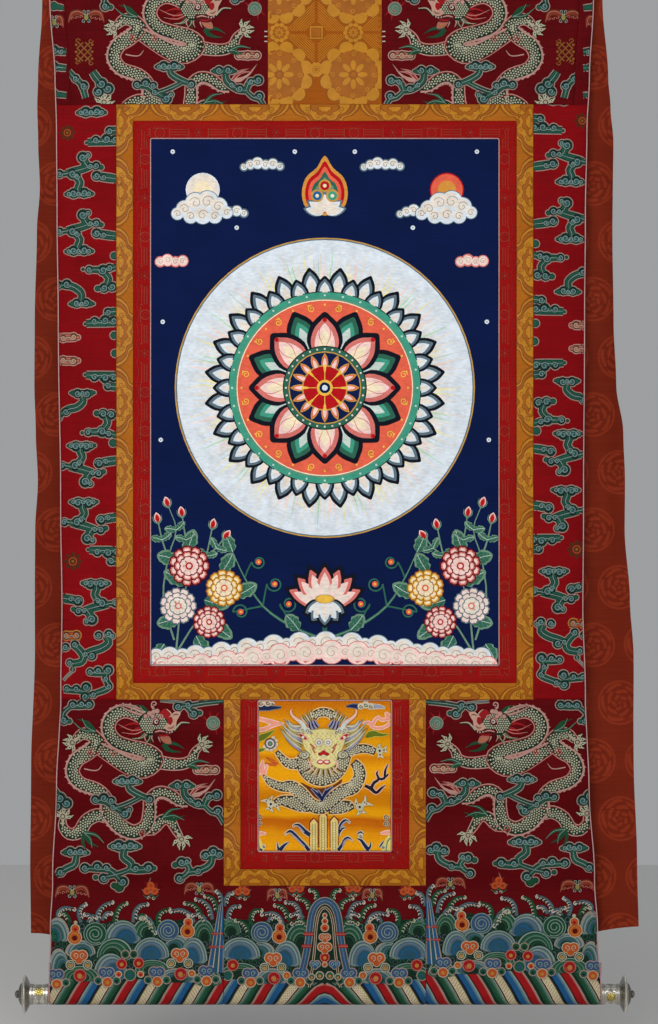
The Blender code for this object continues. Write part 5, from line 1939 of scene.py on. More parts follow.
# %% Weave the foot
DRAGON_LEVEL = 723.0
RIGHT_SQUEEZE = 0.967
for side, squeeze in (("left", 1.0), ("right", RIGHT_SQUEEZE)):
    sew = Needle(panels[f"foot_{side}"])
    sew.place(0, DRAGON_LEVEL * (1 - squeeze), squeeze=squeeze, side=side)
    dragon_brocade(sew)
    side_sea(sew)
    sew.finish(f"foot_{side}_dragon", threads_finish, "red_brocade")
sew = Needle(panels["foot_centre"])
for side in ("left", "right"):
    sew.place(side=side)
    middle_sea(sew)
sew.place()
middle_rock(sew)
sew.finish("foot_centre_sea", threads_finish, "red_brocade")

# %% [markdown]
# ## The door
# The square under a thangka is its door. This one is a piece of yellow court silk, with the light and
# shade of soft folds painted into its colour in bands, and a dragon seen from the front, coiled over three
# pillars. Its scales are pale ovals with dark outlines, and its mane is a fan of grey and lilac strands.

# %% Scales, paws and strands
DOOR_MIDDLE = 323.3
GREY_PITCH, GREY_SPACING, GREY_MARGIN = 2.5, 2.2, 0.7


def grey_scales(sew, points, widths, layer):
    sew.ribbon(points, [width + 2.2 for width in widths], "trim", layer)
    sew.ribbon(points, widths, "slate", layer + 1)
    line, half, scales = scale_rows(points, widths, GREY_PITCH, GREY_SPACING, GREY_MARGIN)
    sew.scatter(scales, 1.1, "ash", layer + 2, sides=6)
    sew.scatter(offset_line(line, half - 0.4)[2:-2:7], 0.8, "navy", layer + 3)


def strand(sew, points, width, colour, layer):
    """A strand of hair: a dark ribbon with a narrower one in its own colour on it."""
    shares = (0.55, 1.0, 0.9, 0.12)
    sew.ribbon(points, [(width + 1.0) * share for share in shares], "slate", layer)
    sew.ribbon(points, [width * share for share in shares], colour, layer + 1)


def pale_paw(sew, x, y, tips, layer=5):
    """A hand of pale threads: a finger bends to every tip, and each has a dark knuckle."""
    for index, (tip_x, tip_y) in enumerate(path(tips)):
        bow = 1.6 if index % 2 else -1.6
        knuckle = ((x + tip_x) / 2 - (tip_y - y) / 9 * bow, (y + tip_y) / 2 + (tip_x - x) / 9 * bow)
        finger = [(x, y), knuckle, (tip_x, tip_y)]
        sew.ribbon(finger, [4.4, 4.4, 1.4], "khaki", layer)
        sew.ribbon(finger, [3.4, 3.2, 0.6], "ivory", layer + 1)
        sew.spot(*knuckle, 0.8, "slate", layer + 2, sides=6)
    sew.spot(x, y, 3.8, "ash", layer + 2)
    sew.spot(x, y, 1.3, "navy", layer + 3, sides=8)


def waves_of(sew, chart, core, edge, rim, layer=1):
    """Ribbons with one outline: a chart holds their points as x,y,width, with bars between ribbons. Every
    outline lies below every core, so that branches join."""
    for ribbon in chart.split("|"):
        line = path(ribbon)
        points, widths = [spot[:2] for spot in line], [spot[2] for spot in line]
        sew.ribbon(points, [width + rim for width in widths], edge, layer)
        sew.ribbon(points, widths, core, layer + 1)


# %% The dragon's face
def on_face(side, text):
    """Places measured from the middle line of the face, on one side of it."""
    return [(DOOR_MIDDLE + side * x, y) for x, y in path(text)]


def mane(sew, side):
    """Fans of strands behind the cheek, over the brow, and on both sides of the horn."""

    def at(x, y):
        return DOOR_MIDDLE + side * x, y

    for index in range(10):
        share = index / 9
        root, far = at(19 + 3 * share, 726 + 26 * share), 5.0 * (index % 3 == 1) - 2.0 * (index % 2)
        tip = at(36 + 7 * share + far, 719.5 + 12 * share - 0.7 * far)
        bow = at(31 + 1.5 * share, 725.5 + 17.5 * share)
        strand(sew, [root, bow, tip], 2.3, ("ash", "lilac", "ash", "khaki")[index % 4], 6 + 0.1 * index)
    for index in range(6):
        root, tip = at(17 - 1.6 * index, 724 - 1.2 * index), at(23.5 - 2.2 * index, 716 - 1.5 * index)
        bow = at(20 - 2 * index, 720.5 - 1.2 * index)
        strand(sew, [root, bow, tip], 1.5, ("ivory", "khaki")[index % 2], 6)
    for index in range(3):
        foot, top = at(12.0 - 3.2 * index, 731.0 - 2.0 * index), at(14.6 - 2.4 * index, 721.4 - 0.6 * index)
        sew.ribbon([foot, top], [4.0, 3.0], "lilac", 8)
        sew.ribbon([foot, at(14 - 3 * index, 726 - index), top], [1.4, 1.6, 0.8], "navy", 9)
    horn = on_face(side, "18.4,730 21,723.6 26.5,719.6 31.4,715.6 32.8,711.2 31.6,709.6")
    sew.ribbon(horn, [6.6, 5.6, 4.2, 3.4, 2.6, 1.6], "ochre", 9)
    sew.ribbon(horn, [5.6, 4.6, 3.2, 2.4, 1.6, 0.8], "blush", 10)
    sew.ribbon(horn[:3], [4.2, 3.0, 0.6], "mint", 11)
    for x, y, reach in ((16.5, 730.5, 3.6), (21.0, 729.8, 3.2), (13.0, 732.0, 2.6)):
        sew.spot(*at(x, y), reach, "ash", 10)
        sew.spiral(*at(x, y), reach * 0.6, "slate", 11, 1.0, 90, 0.5, side)


def cheek(sew, side):
    """Eye, cheek mark, nostril, lip and the curl of the jaw."""

    def spots(x, *discs):
        for y, radius, colour, layer, squash in discs:
            sew.spot(DOOR_MIDDLE + side * x, y, radius, colour, layer, squash=squash)

    eye = on_face(side, "25.6,733 22,732.8 18,735.2 15.6,738.8 17.6,740 21.4,738.6")
    sew.patch(eye, "blush", 11, rim=0.6)
    sew.patch(on_face(side, "24.8,733.9 22,733.7 18.6,735.9 16.6,738.7 20.6,738.1"), "red", 12)
    sew.spot(DOOR_MIDDLE + side * 20.6, 736.6, 1.4, "white", 13, sides=8)
    eyeball = ((4.2, "khaki", 11), (3.7, "white", 12), (2.0, "steel", 13), (1.2, "white", 14))
    spots(4.6, *[(742.0, *disc, 1.0) for disc in eyeball])
    mark = on_face(side, "13.4,743.4 8.6,748.2 11.4,747.4 8.6,753.2")
    sew.ribbon(mark, 1.6, "rust", 11, bend=False)
    mark = on_face(side, "13.4,743.6 8.6,748.2 11.4,747.4 8.8,753.2")
    sew.ribbon(mark, 0.6, "salmon", 12, bend=False)
    spots(3.3, (754.0, 2.3, "rust", 11, 0.85), (753.6, 1.7, "red", 12, 0.8))
    spots(3.2, (762.2, 3.4, "red", 11, 0.75), (762.0, 2.3, "petal", 12, 0.6))
    spots(19.4, (755.0, 5.8, "slate", 10.4, 0.78), (755.0, 5.0, "ash", 11, 0.78))
    sew.spiral(DOOR_MIDDLE + side * 19.4, 755.0, 3.8, "slate", 12, 1.4, 120, 0.7, -side)
    sew.ribbon(on_face(side, "9.4,759 13.6,763 12.6,768 8.4,771.4"), [1.2, 1.9, 1.5, 0.5], "blush", 12)


def frontal_face(sew):
    for side in (-1, 1):
        mane(sew, side)
    dome_line = on_face(1, "-9.6,719 -7.4,714.2 0,712.2 7.4,714.2 9.6,719")
    grey_scales(sew, dome_line, [5.6, 8.0, 8.4, 8.0, 5.6], 6)
    half_face = path("6,728.4 13,729.6 19,731.6 21.6,738 20.4,746 16.4,753 13.6,759 12,765")
    face = [(0, 727.8)] + half_face + path("6,768.6 0,769.6 -6,768.6")
    face += [(-x, y) for x, y in reversed(half_face)]
    sew.patch([(DOOR_MIDDLE + x, y) for x, y in face], "khaki", 9, rim=0.6)
    sew.patch([(DOOR_MIDDLE + x * 0.96, 748 + (y - 748) * 0.96) for x, y in face], "face", 9.6, rim=1.4)
    flecks = []
    for row in range(12):
        y = 733 + 2.7 * row
        reach = np.interp(y, [place[1] for place in half_face], [place[0] for place in half_face]) - 1.6
        flecks += [(DOOR_MIDDLE + x, y) for x in np.arange(-18 + row % 2, 19, 2.4) if abs(x) < reach]
    sew.scatter(flecks[::2], 0.7, "khaki", 10.4)
    sew.scatter(flecks[1::2], 0.7, "cream", 10.4)
    for index in range(19):
        lean = (index - 9) / 9
        beard = [(10 * lean, 765), (15 * lean, 772 - 2 * lean**2), (22 * lean, 778 - 6 * lean**2)]
        beard = [(DOOR_MIDDLE + x, y) for x, y in beard]
        sew.ribbon(beard, [2.4, 1.9, 0.4], ("umber", "ash", "khaki")[index % 3], 8.4)
    for side in (-1, 1):
        cheek(sew, side)
    sew.spot(DOOR_MIDDLE, 752.4, 2.4, "red", 12)
    sew.spot(DOOR_MIDDLE, 757.4, 3.4, "ivory", 11, squash=0.4)


# %% Its body, the pillars and the clouds
def door_dragon(sew):
    rings = """353,762 358,768 359.4,776.5 353,787 343,790.6 333,798 322,807.4 310,804 301.5,793.5
        291,786.4 281,786.4 270,782 263,775"""
    ring_widths = [8, 11, 11.5, 13, 13, 13, 13, 13, 12, 12, 9, 7, 2]
    grey_scales(sew, "310,806 300,804 290,801.6 281,800.4 275,803", [12, 15, 13, 9.5, 7], 1)
    grey_scales(sew, "328,808 340,807 348,806 351,810", [12, 13, 11, 7], 1)
    grey_scales(sew, rings, ring_widths, 2)
    sew.patch("300,782 311,787 321,788 333,785 342,779 336,790 322,800 310,793", "umber", 0.5)
    fins = """322,799,2.6 317,793.6,2.4 311,788,0.6 | 321,799,2.6 327,791,2.4 333,786.4,0.6
        | 321.6,800,2.4 319.6,794,1.8 317,789.6,0.5 | 321.6,800,2.4 324,793.6,1.8 326.4,788,0.5"""
    waves_of(sew, fins, "navy", "lilac", 1.7, 6)
    grey_scales(sew, "304,762 295,764 287,763 281,757.4 276.4,751.4", [13, 10.5, 9, 6.4, 4.4], 3)
    grey_scales(sew, "340,759 350,751.4 360,748.6 368,749 375,752", [10, 9, 9, 8.4, 7], 3)
    collar = "301,755 303.5,767 311,775 321,778 331.4,775 340,767 345.6,755"
    grey_scales(sew, collar, [9, 13, 15, 15.5, 15, 14, 11], 4)
    pale_paw(sew, 270.5, 803.6, "272.6,795.4 260.6,800.6 265.4,809 273,812 279.4,811")
    pale_paw(sew, 359.4, 806.6, "355.6,798 365,795 373,805 366,813 356.4,815.4")
    pale_paw(sew, 379.4, 750.6, "380,743.4 386.4,745.6 387,752.6 383.4,758 377,758")
    x, y = 269.9, 743.3
    for turn in range(-60, 151, 35):
        angle = math.radians(turn)
        sew.spot(x + 6.6 * math.cos(angle), y + 6.6 * math.sin(angle), 1.9, "ivory", 4, sides=8)
    rings = ((5.6, "slate"), (4.6, "lilac"), (3.7, "white"), (2.6, "slate"), (1.8, "fern"))
    for index, (radius, colour) in enumerate(rings):
        sew.spot(x, y, radius, colour, 5 + index, sides=16)


DOOR_CLOUDS = (
    # ribbons, core, outline, how far the outline reaches out
    ("254,707.8,4.6 268,708,4.6 281,707.4,0.8 | 346,706.6,0.8 352,706,3.4 358,706.6,4", "navy", "steel", 1.7),
    ("372,706.6,4.6 379,706.8,3.2 385,708,0.6", "lilac", "ash", 1.7),
)
DOOR_CURLS = "260.4,703.2,3.8 267.4,702.8,3.8 272.4,703.8,2.2 360.6,706.4,3.4 370.2,706.4,3.4 365.4,704.8,3.8"
DOOR_FLAMES = (
    ("""255,718,3 263,719.6,3 273,722.4,4 284,724,0.6 | 255,730,3 264,729,3 273,725,3 280,724,1
    | 362,723,0.6 368,722.4,2.6 372,724,3 375,719.6,2.4 378,717.4,2.4 381.6,719.8,2.4 390,718.4,2.4
    | 370,725,2 374,727.4,2.4 380,727.8,2.4 385,726.4,2.4 390,722.8,2.4 | 385.4,712,1 387,715,4 390,718,5
    | 255,834.6,3 261,833.4,3 266,833.6,0.6 | 390,832,3 385,832.6,3 380,833.4,0.6
    | 255,770,9 261,769,6 262.6,759.6,0.4 | 262,776,5 266,768,2 267,764,0.4""", "pink", "petal", 1.4),
    ("""256,741,3 262,737,6 267.4,734.2,4 274,730,0.5 | 255,750.6,4 261,750,3 266,747.6,0.5
    | 365.6,737,2 369.4,734.4,6 374,733.4,5.4 380,734.6,3 388,734.4,0.6""", "olive", "lime", 1.4),
    ("278,764,1 272,761,2.6 266,757.4,0.4 | 276,765,2 270,764.4,2 264.6,763,0.4", "orange", "rust", 0.6),
    ("""364.6,785.4,3 370.8,788.4,3.6 375.7,792.4,3 380.4,788.4,2.4 385,785,0.8
    | 370.8,788,3 373.6,782.6,3 378.2,779,2.6 376.4,773.6,2 377.8,770.6,0.6
    | 378.2,779,2.4 384,778,2.6 384.8,771,2.4 387.6,764,0.6 | 384,778,2 388,774,1.4""", "ink", "blush", 1.9),
)


def door_clouds(sew):
    for row in DOOR_CLOUDS:
        waves_of(sew, *row)
    for x, y, reach in path(DOOR_CURLS):
        sew.spot(x, y, reach, "ivory", 3)
        sew.spiral(x, y + 0.3, reach * 0.58, "leaf" if x > 300 else "umber", 4, 1.1, 0, 0.9)
    for row in DOOR_FLAMES:
        waves_of(sew, *row)


def pillars(sew):
    for left, right, top in ((309.9, 317.2, 818.6), (319.2, 326.4, 812.0), (330.3, 337.5, 816.6)):
        middle = (left + right) / 2
        for inset, colour, layer in ((-0.9, "umber", 0), (0.0, "trim", 0.5), (0.8, "straw", 1.0)):
            low, high, tip = left + inset, right - inset, top + 1.4 * inset
            outline = [(low, 852), (low, tip + 4.4), (middle, tip), (high, tip + 4.4), (high, 852)]
            sew.patch(outline, colour, layer, bend=False, rim=0.3)
        for share in (0.28, 0.5, 0.72):
            x = left + (right - left) * share
            sew.bar((x, top + 5), (x, 852), 0.8, ("khaki", "cream")[share == 0.5], 1.8)
        for y in np.arange(top + 6, 851, 2.4):
            scale = [(left + 1.4, y + 1.4), (middle, y), (right - 1.4, y + 1.4)]
            sew.ribbon(scale, 0.6, "khaki", 2.2, bend=False)


DOOR_TONGUES = """309.6,835,4 304.2,831,4 300.8,827,3 297.6,824.6,2.2 293.6,825,0.8
| 308.6,850,3.4 304.8,845.2,3 299.6,840,2.8 294.6,835,3.4 290,831.2,2.8 285.8,833,0.8
| 279.6,850,4 284,845,2.6 288.4,842,0.6 | 278.4,850,2.6 277.6,846,1.4 277,842.4,0.4
| 338.6,836,1 339.4,828,3 341.6,823,2.8 345,820,1.8 348.6,821.2,0.6
| 339,833,1.6 342,828.6,1.8 345.6,827.8,0.6
| 338,850,3.4 342,844,2.4 343.8,839.6,1.6 347.4,837.4,2 351.4,839.4,0.6
| 368,850,4 363.6,844,3.2 360.4,840,2.4 356.6,838.6,0.6 | 356.6,834.4,0.6 360,832,1.8 363.4,833.8,0.6
| 367,850,3 370,846,1.8 370.4,842,0.5 | 255,845,3 259,849,3 264,851,2
| 379,847,1 381.6,843.6,1.6 384,840.6,0.5"""


def door_waves(sew):
    """Cresting waves beside the pillars: dark tongues with pale undersides, and curls at the edges."""
    waves_of(sew, DOOR_TONGUES, "navy", "ash", 1.8)
    tongues = DOOR_TONGUES.split("|")
    for index, hand in ((0, -1), (1, -1), (6, 1), (4, 1)):
        points = path(tongues[index])
        tip_x, tip_y, _ = points[-1]
        sew.spiral(tip_x, tip_y + 1.2, 1.8, "ivory", 4, 0.9, -90, 0.8, hand)
        sew.ribbon([(x + 0.5 * hand, y + 1.4) for x, y, _ in points[1:-1]], 1.5, "lilac", 4)
    for x, y, reach in ((360.4, 836.2, 2.6), (263.6, 846.4, 2.2), (382.6, 847.0, 2.2)):
        sew.spot(x, y, reach, "ash", 3)
        sew.spiral(x, y, reach * 0.6, "slate", 4, 1.1, 0, 0.7)
    for x, far in ((255, 264), (390, 381)):
        middle, hand = (x + far) / 2, 1 if far > x else -1
        sew.patch([(x, 836), (middle, 838), (far, 850), (x, 852)], "straw", 2, rim=0.8)
        sew.ribbon([(x, 838), ((2 * x + far) / 3, 842), (middle, 851)], [1.6, 1.4, 1.0], "fern", 3)
        for y in (817.6, 823.8):
            sew.spiral(middle, y, 3.0, "ivory", 2, 1.3, 90, 1.7, hand)
            sew.spiral(middle, y, 3.0, "slate", 3, 1.3, 90, 0.8, hand)


sew = Needle(panels["door"])
door_clouds(sew)
door_waves(sew)
pillars(sew)
door_dragon(sew)
frontal_face(sew)
sew.finish("door_dragon", court_finish, "yellow_brocade")

# %% [markdown]
# ## Damask on the frames
# The gold frame silk has lobed clouds in a bright thread on a ground of fine slanting lines. The red
# frame silk has a faint lattice of bars, rings and squares in an ochre thread. The strips were cut from
# wider cloth, so both patterns run off their edges.

# %% Weave the frames and the middle of the head
SCALLOP_PITCH = 70.0
LATTICE_CELL = 19.4
STRIP = BORDER_WIDTH / STEP


def gold_cloud(sew):
    """A lobed cloud with its back on the strip's outer edge: x runs along the strip, y across it from 0."""
    half = path("5,13 11,12 14,7.5 20,5.5 25,-1 20,-6")
    lobes = [(-x, y) for x, y in reversed(half[:-1])] + [(0, 10.2)] + half + [(-20, -6)]
    for index, colour in enumerate(("bronze", "glint", "bronze", "honey", "bronze", "glint")):
        grown, layer = 1.44 - 0.09 * index, 0.2 * index
        sew.patch([(x * grown, 3 + y * grown) for x, y in lobes], colour, layer, rim=0.3)
    for share, colour in ((0.60, "bronze"), (0.54, "honey"), (0.30, "bronze"), (0.24, "glint")):
        sew.patch([(x * share, 5 + (y - 2) * share) for x, y in lobes], colour, 1.8 - share, rim=0.3)
    for side in (-1, 1):
        sew.spiral(side * 17, 5.6, 3.2, "bronze", 1.8, 1.4, 90, 0.7, side)
        sew.spiral(side * 8, 12.2, 2.8, "honey", 1.8, 1.4, 90, 0.7, side)


def lattice(sew, length):
    """Cells along a strip: bars, a rosette, bars, a square with a ring. x runs along, y across it from 0."""
    for cell in range(int(length / LATTICE_CELL / 2) + 1):
        for way in (-1, 1):
            x = way * (cell + 0.5) * LATTICE_CELL
            kind = (cell if way > 0 else cell + 1) % 4
            edge = x - LATTICE_CELL / 2
            sew.bar((edge, 7), (edge, 17), 0.7, "russet", 0)
            if kind in (0, 2):
                for y in (8.6, 11.2, 13.8):
                    sew.bar((edge + 0.8, y), (edge + LATTICE_CELL - 0.8, y), 0.6, "russet", 0)
            elif kind == 1:
                sew.ring(x, 12.0, 4.8, 0.7, "russet", 0)
                sew.ring(x, 12.0, 2.2, 0.6, "rust", 0, sides=8)
                sew.bar((edge + 2, 7.4), (edge + LATTICE_CELL - 2, 7.4), 0.6, "russet", 0)
            else:
                for petal_x, petal_y, turn in around(x, 11.6, 3.4, 6):
                    sew.spot(petal_x, petal_y, 1.5, "rust", 0, sides=6, squash=0.7, turn=turn)
                sew.spot(x, 11.6, 1.3, "russet", 0.5, sides=6)
            arch = [(edge, 3.6), (edge + LATTICE_CELL / 2, 5.6), (edge + LATTICE_CELL, 3.6)]
            sew.ribbon(arch, 0.5, "rust", 0)


def along_strip(sew, name, shift=0.0):
    """Puts the needle in a strip's own frame: x along it from its middle, y across it from its outer edge."""
    panel = sew.panel
    middle = GRID_MIDDLE + float(panel.left(panel.top) + panel.right(panel.top)) / 2 / STEP
    level = (panel.top + panel.foot) / 2 / STEP - GRID_TOP
    half = STRIP / 2
    if name.endswith("top"):
        sew.place(middle + shift, level - half)
    elif name.endswith("foot"):
        sew.place(middle + shift, level + half, flip_y=True)
    elif name.endswith("left"):
        sew.place(middle - half, level + shift, turn=90, flip_y=True)
    else:
        sew.place(middle + half, level + shift, turn=90)


for name, panel in panels.items():
    if not name.startswith(("gold_border", "door_gold", "red_border", "door_red")):
        continue
    sew = Needle(panel)
    length = max(panel.foot - panel.top, float(panel.right(panel.top) - panel.left(panel.top))) / STEP
    if "gold" in name:
        count = int(length / SCALLOP_PITCH / 2) + 1
        for index in range(-count, count + 1):
            along_strip(sew, name, index * SCALLOP_PITCH)
            gold_cloud(sew)
        sew.finish(f"{name}_clouds", damask_finish, "gold_brocade")
    else:
        along_strip(sew, name)
        lattice(sew, length)
        sew.finish(f"{name}_lattice", damask_finish, "red_border")


# %% Weave the middle of the head
def rosette_ring(sew, x, y, radius):
    for spot_x, spot_y, _ in around(x, y, radius, 10):
        sew.spot(spot_x, spot_y, 3.3, "bronze", 0, sides=8)
        sew.spot(spot_x, spot_y, 2.6, "glint", 0.5, sides=8)
    sew.spot(x, y, radius - 0.6, "bronze", 1, sides=18)
    sew.spot(x, y, radius - 1.6, "honey", 1.5, sides=18)
    for petal_x, petal_y, turn in around(x, y, 3, 8):
        sew.spot(petal_x, petal_y, 1.7, "glint", 2, sides=6, squash=0.6, turn=turn)


def lobed_medallion(sew, x, y, radius):
    """A large scalloped medallion with a flower."""
    for spot_x, spot_y, _ in around(x, y, 0.86 * radius, 12, 15):
        sew.spot(spot_x, spot_y, 0.27 * radius, "bronze", 0)
        sew.spot(spot_x, spot_y, 0.235 * radius, "glint", 0.5)
    rounds = ((0.80, "bronze"), (0.77, "honey"), (0.56, "glint"), (0.53, "honey"))
    for index, (share, colour) in enumerate(rounds):
        sew.spot(x, y, share * radius, colour, 1 + 0.5 * index, sides=24)
    for inner, outer in zip(around(x, y, 0.30 * radius, 8), around(x, y, 0.665 * radius, 8)):
        sew.spot(*inner[:2], 0.17 * radius, "glint", 3, squash=0.55, turn=inner[2], sides=8)
        sew.spiral(*outer[:2], 0.085 * radius, "glint", 2, 1.2, outer[2], 0.7)
    sew.ring(x, y, 0.12 * radius, 0.9, "bronze", 4, sides=8)


def small_square(sew, x, y):
    """A square of four bands with slanting lines at its corners."""
    squares = ((7.2, "bronze"), (6.4, "glint"), (5.0, "bronze"), (4.2, "honey"))
    for index, (half, colour) in enumerate(squares):
        corners = [(x - half, y - half), (x + half, y - half), (x + half, y + half), (x - half, y + half)]
        sew.patch(corners, colour, 0.5 * index, bend=False, rim=0.4)
    for reach in np.arange(14.0, 33.0, 2.6):
        for way, up in ((1, 1), (1, -1), (-1, 1), (-1, -1)):
            start = (x + way * 1.6, y + up * (reach - 1.6))
            sew.bar(start, (x + way * (reach - 1.6), y + up * 1.6), 0.6, "glint", 0)


sew = Needle(panels["head_centre"])
for x in (205, 279, 353, 427):
    for y in (-93, -9, 75):
        lobed_medallion(sew, x, y, 31)
    for y in (-51, 33, 117):
        rosette_ring(sew, x, y, 7.6)
for x in (242, 316, 390):
    for y in (-51, 33):
        small_square(sew, x, y)
    for y in (-9, 70):
        rosette_ring(sew, x, y, 5.0)
sew.finish("head_centre_damask", damask_finish, "gold_brocade")

# %% [markdown]
# ## The painted panel
# The panel is painted with mineral colours on sized cotton. This one carries a lotus mandala of a plain
# traditional kind: a wheel in rings of petals, on a great disc of tinted rays, over a bank of clouds, with
# peonies at its sides. Paint is far thinner than thread, so its layers lie closer together.

# %% Petals, flowers, leaves and clouds
PAINT_LAYER = 0.00007
MANDALA = (324.5, 388.0)
POINTED = path("0,0 0.06,0.55 0.38,1 0.72,0.78 0.92,0.3 1,0")
ROUNDED = path("0,0 0.1,0.5 0.45,0.92 0.8,0.95 0.98,0.5 0.94,0")


def turned_outline(x, y, turn, points):
    """Points given as a reach along a direction and a step to its side, as places."""
    turn = math.radians(turn)
    across, down = math.cos(turn), math.sin(turn)
    return [(x + reach * across - side * down, y + reach * down + side * across) for reach, side in points]


def petal(sew, x, y, turn, root, tip, half, colours, layer, shape=POINTED, bend=True):
    """A petal in nested colours, each on the one before."""
    shape = shape + [(reach, -side) for reach, side in shape[-2:0:-1]]
    for index, colour in enumerate(colours.split()):
        shrink = 1 - 0.22 * index
        length = (tip - root) * (1 - 0.12 * index)
        points = [(root + reach * length, side * half * shrink) for reach, side in shape]
        sew.patch(turned_outline(x, y, turn, points), colour, layer + 0.4 * index, bend, rim=0.3)


def petal_ring(sew, x, y, count, root, tip, half, colours, layer, turn=0.0, shape=POINTED, bend=True):
    for index in range(count):
        petal(sew, x, y, turn + 360 * index / count, root, tip, half, colours, layer, shape, bend)


def discs(sew, x, y, rings, layer, step=0.3):
    """Discs in one another: each is a radius and a colour."""
    for index, (radius, colour) in enumerate(rings):
        sew.spot(x, y, radius, colour, layer + step * index, sides=72 if radius > 40 else 24)


def peony(sew, x, y, radius, colours, layer=4):
    """Frilled petals in three rings round a curled heart: colours run from the outer rim inwards."""
    edge, body, light, heart = colours.split()
    rings = ((11, 0.45, 1.05, 0.26, 0), (9, 0.28, 0.78, 0.25, 20), (7, 0.08, 0.52, 0.22, 0))
    for index, (count, root, tip, half, turn) in enumerate(rings):
        tones = f"{edge} {body} {light}" if index < 2 else f"{edge} {light}"
        sizes = (root * radius, tip * radius, half * radius)
        petal_ring(sew, x, y, count, *sizes, tones, layer + index, turn, ROUNDED, False)
    discs(sew, x, y, ((0.20 * radius, heart), (0.13 * radius, light)), layer + 3)
    turns = np.arange(10) * 0.63
    dots = np.stack([x + 0.24 * radius * np.cos(turns), y + 0.24 * radius * np.sin(turns)], 1)
    sew.scatter(dots, 0.5, "lemon", layer + 4)


def broad_leaf(sew, x, y, turn, length, half, layer=2):
    """A lobed leaf with pale veins."""
    shape = path("0,0 0.2,0.8 0.35,0.72 0.5,1 0.66,0.8 0.82,0.66 1,0")
    petal(sew, x, y, turn, 0, length, half, "fern leaf", layer, shape)
    middle = turned_outline(x, y, turn, [(0, 0), (0.5 * length, 0.6), (0.9 * length, 0)])
    sew.ribbon(middle, 0.6, "mint", layer + 1)
    for reach in (0.25, 0.45, 0.65):
        for side in (-1, 1):
            vein = [(reach * length, 0), ((reach + 0.16) * length, side * half * 0.5)]
            sew.bar(*turned_outline(x, y, turn, vein), [0.5, 0.3], "fern", layer + 1.2)


def bud(sew, x, y, turn, size, layer=3):
    petal(sew, x, y, turn, 0, 2.2 * size, 0.75 * size, "petal rose red", layer)
    for side in (-1, 1):
        sepal = [(-0.5 * size, 0), (0.4 * size, side * 0.9 * size), (1.5 * size, side * size)]
        sew.ribbon(turned_outline(x, y, turn, sepal), [1.2, 1.0, 0.3], "fern", layer + 1)


def painted_cloud(sew, x, y, size, colours, lobes, layer=2):
    """A heap of curled lobes: each a disc with a lighter disc on it and a fine curl."""
    edge, body, light = colours.split()
    for across, down, reach in lobes:
        reach, way = reach * size, 1 if across < 0 else -1
        spot = (x + across * size, y + down * size)
        discs(sew, *spot, ((reach + 0.8, edge), (reach, body)), layer)
        sew.spot(spot[0] - 0.12 * reach, spot[1] - 0.2 * reach, 0.68 * reach, light, layer + 1, sides=16)
        sew.spiral(*spot, 0.6 * reach, edge, layer + 1.6, 1.2, 90 + 110 * way, 0.5, way)


HEAP = path("-2.1,0.5,0.5 -1.5,0.1,0.7 -0.6,-0.4,0.85 0.4,-0.5,0.9 1.3,-0.1,0.75 2,0.4,0.5")
HEAP += path("-1,0.7,0.6 0,0.6,0.75 1,0.7,0.6")
LOW_HEAP = path("-2.6,0.3,0.45 -1.8,0,0.6 -0.9,-0.2,0.7 0.1,0,0.6 1,-0.1,0.65 1.9,0.2,0.5")
RED_PEONY, YELLOW_PEONY = "wine rose petal red", "ochre lemon cream coral"
PALE_PEONY = "steel petal white rose"
BLUE_CLOUD, PINK_CLOUD = "steel frost white", "rose petal white"


# %% The mandala
def rays(sew, inner, outer):
    """Fine wavy lines that run out across the great disc, tinted in groups."""
    tints = "buttery petal frost sprout white buttery mint petal sprout frost".split()
    for index in range(360):
        end = outer - 9 * (index % 3) - 5 * (index % 4)
        sway = 0.8 * math.sin(index / 5)
        long = end - inner
        line = [(inner, 0), (inner + 0.4 * long, sway), (inner + 0.7 * long, -sway), (end, 0)]
        tint = tints[(index // 4) % 10] if index % 2 else "white"
        sew.ribbon(turned_outline(*MANDALA, index, line), [1.8, 1.9, 1.3, 0.2], tint, 1.2)


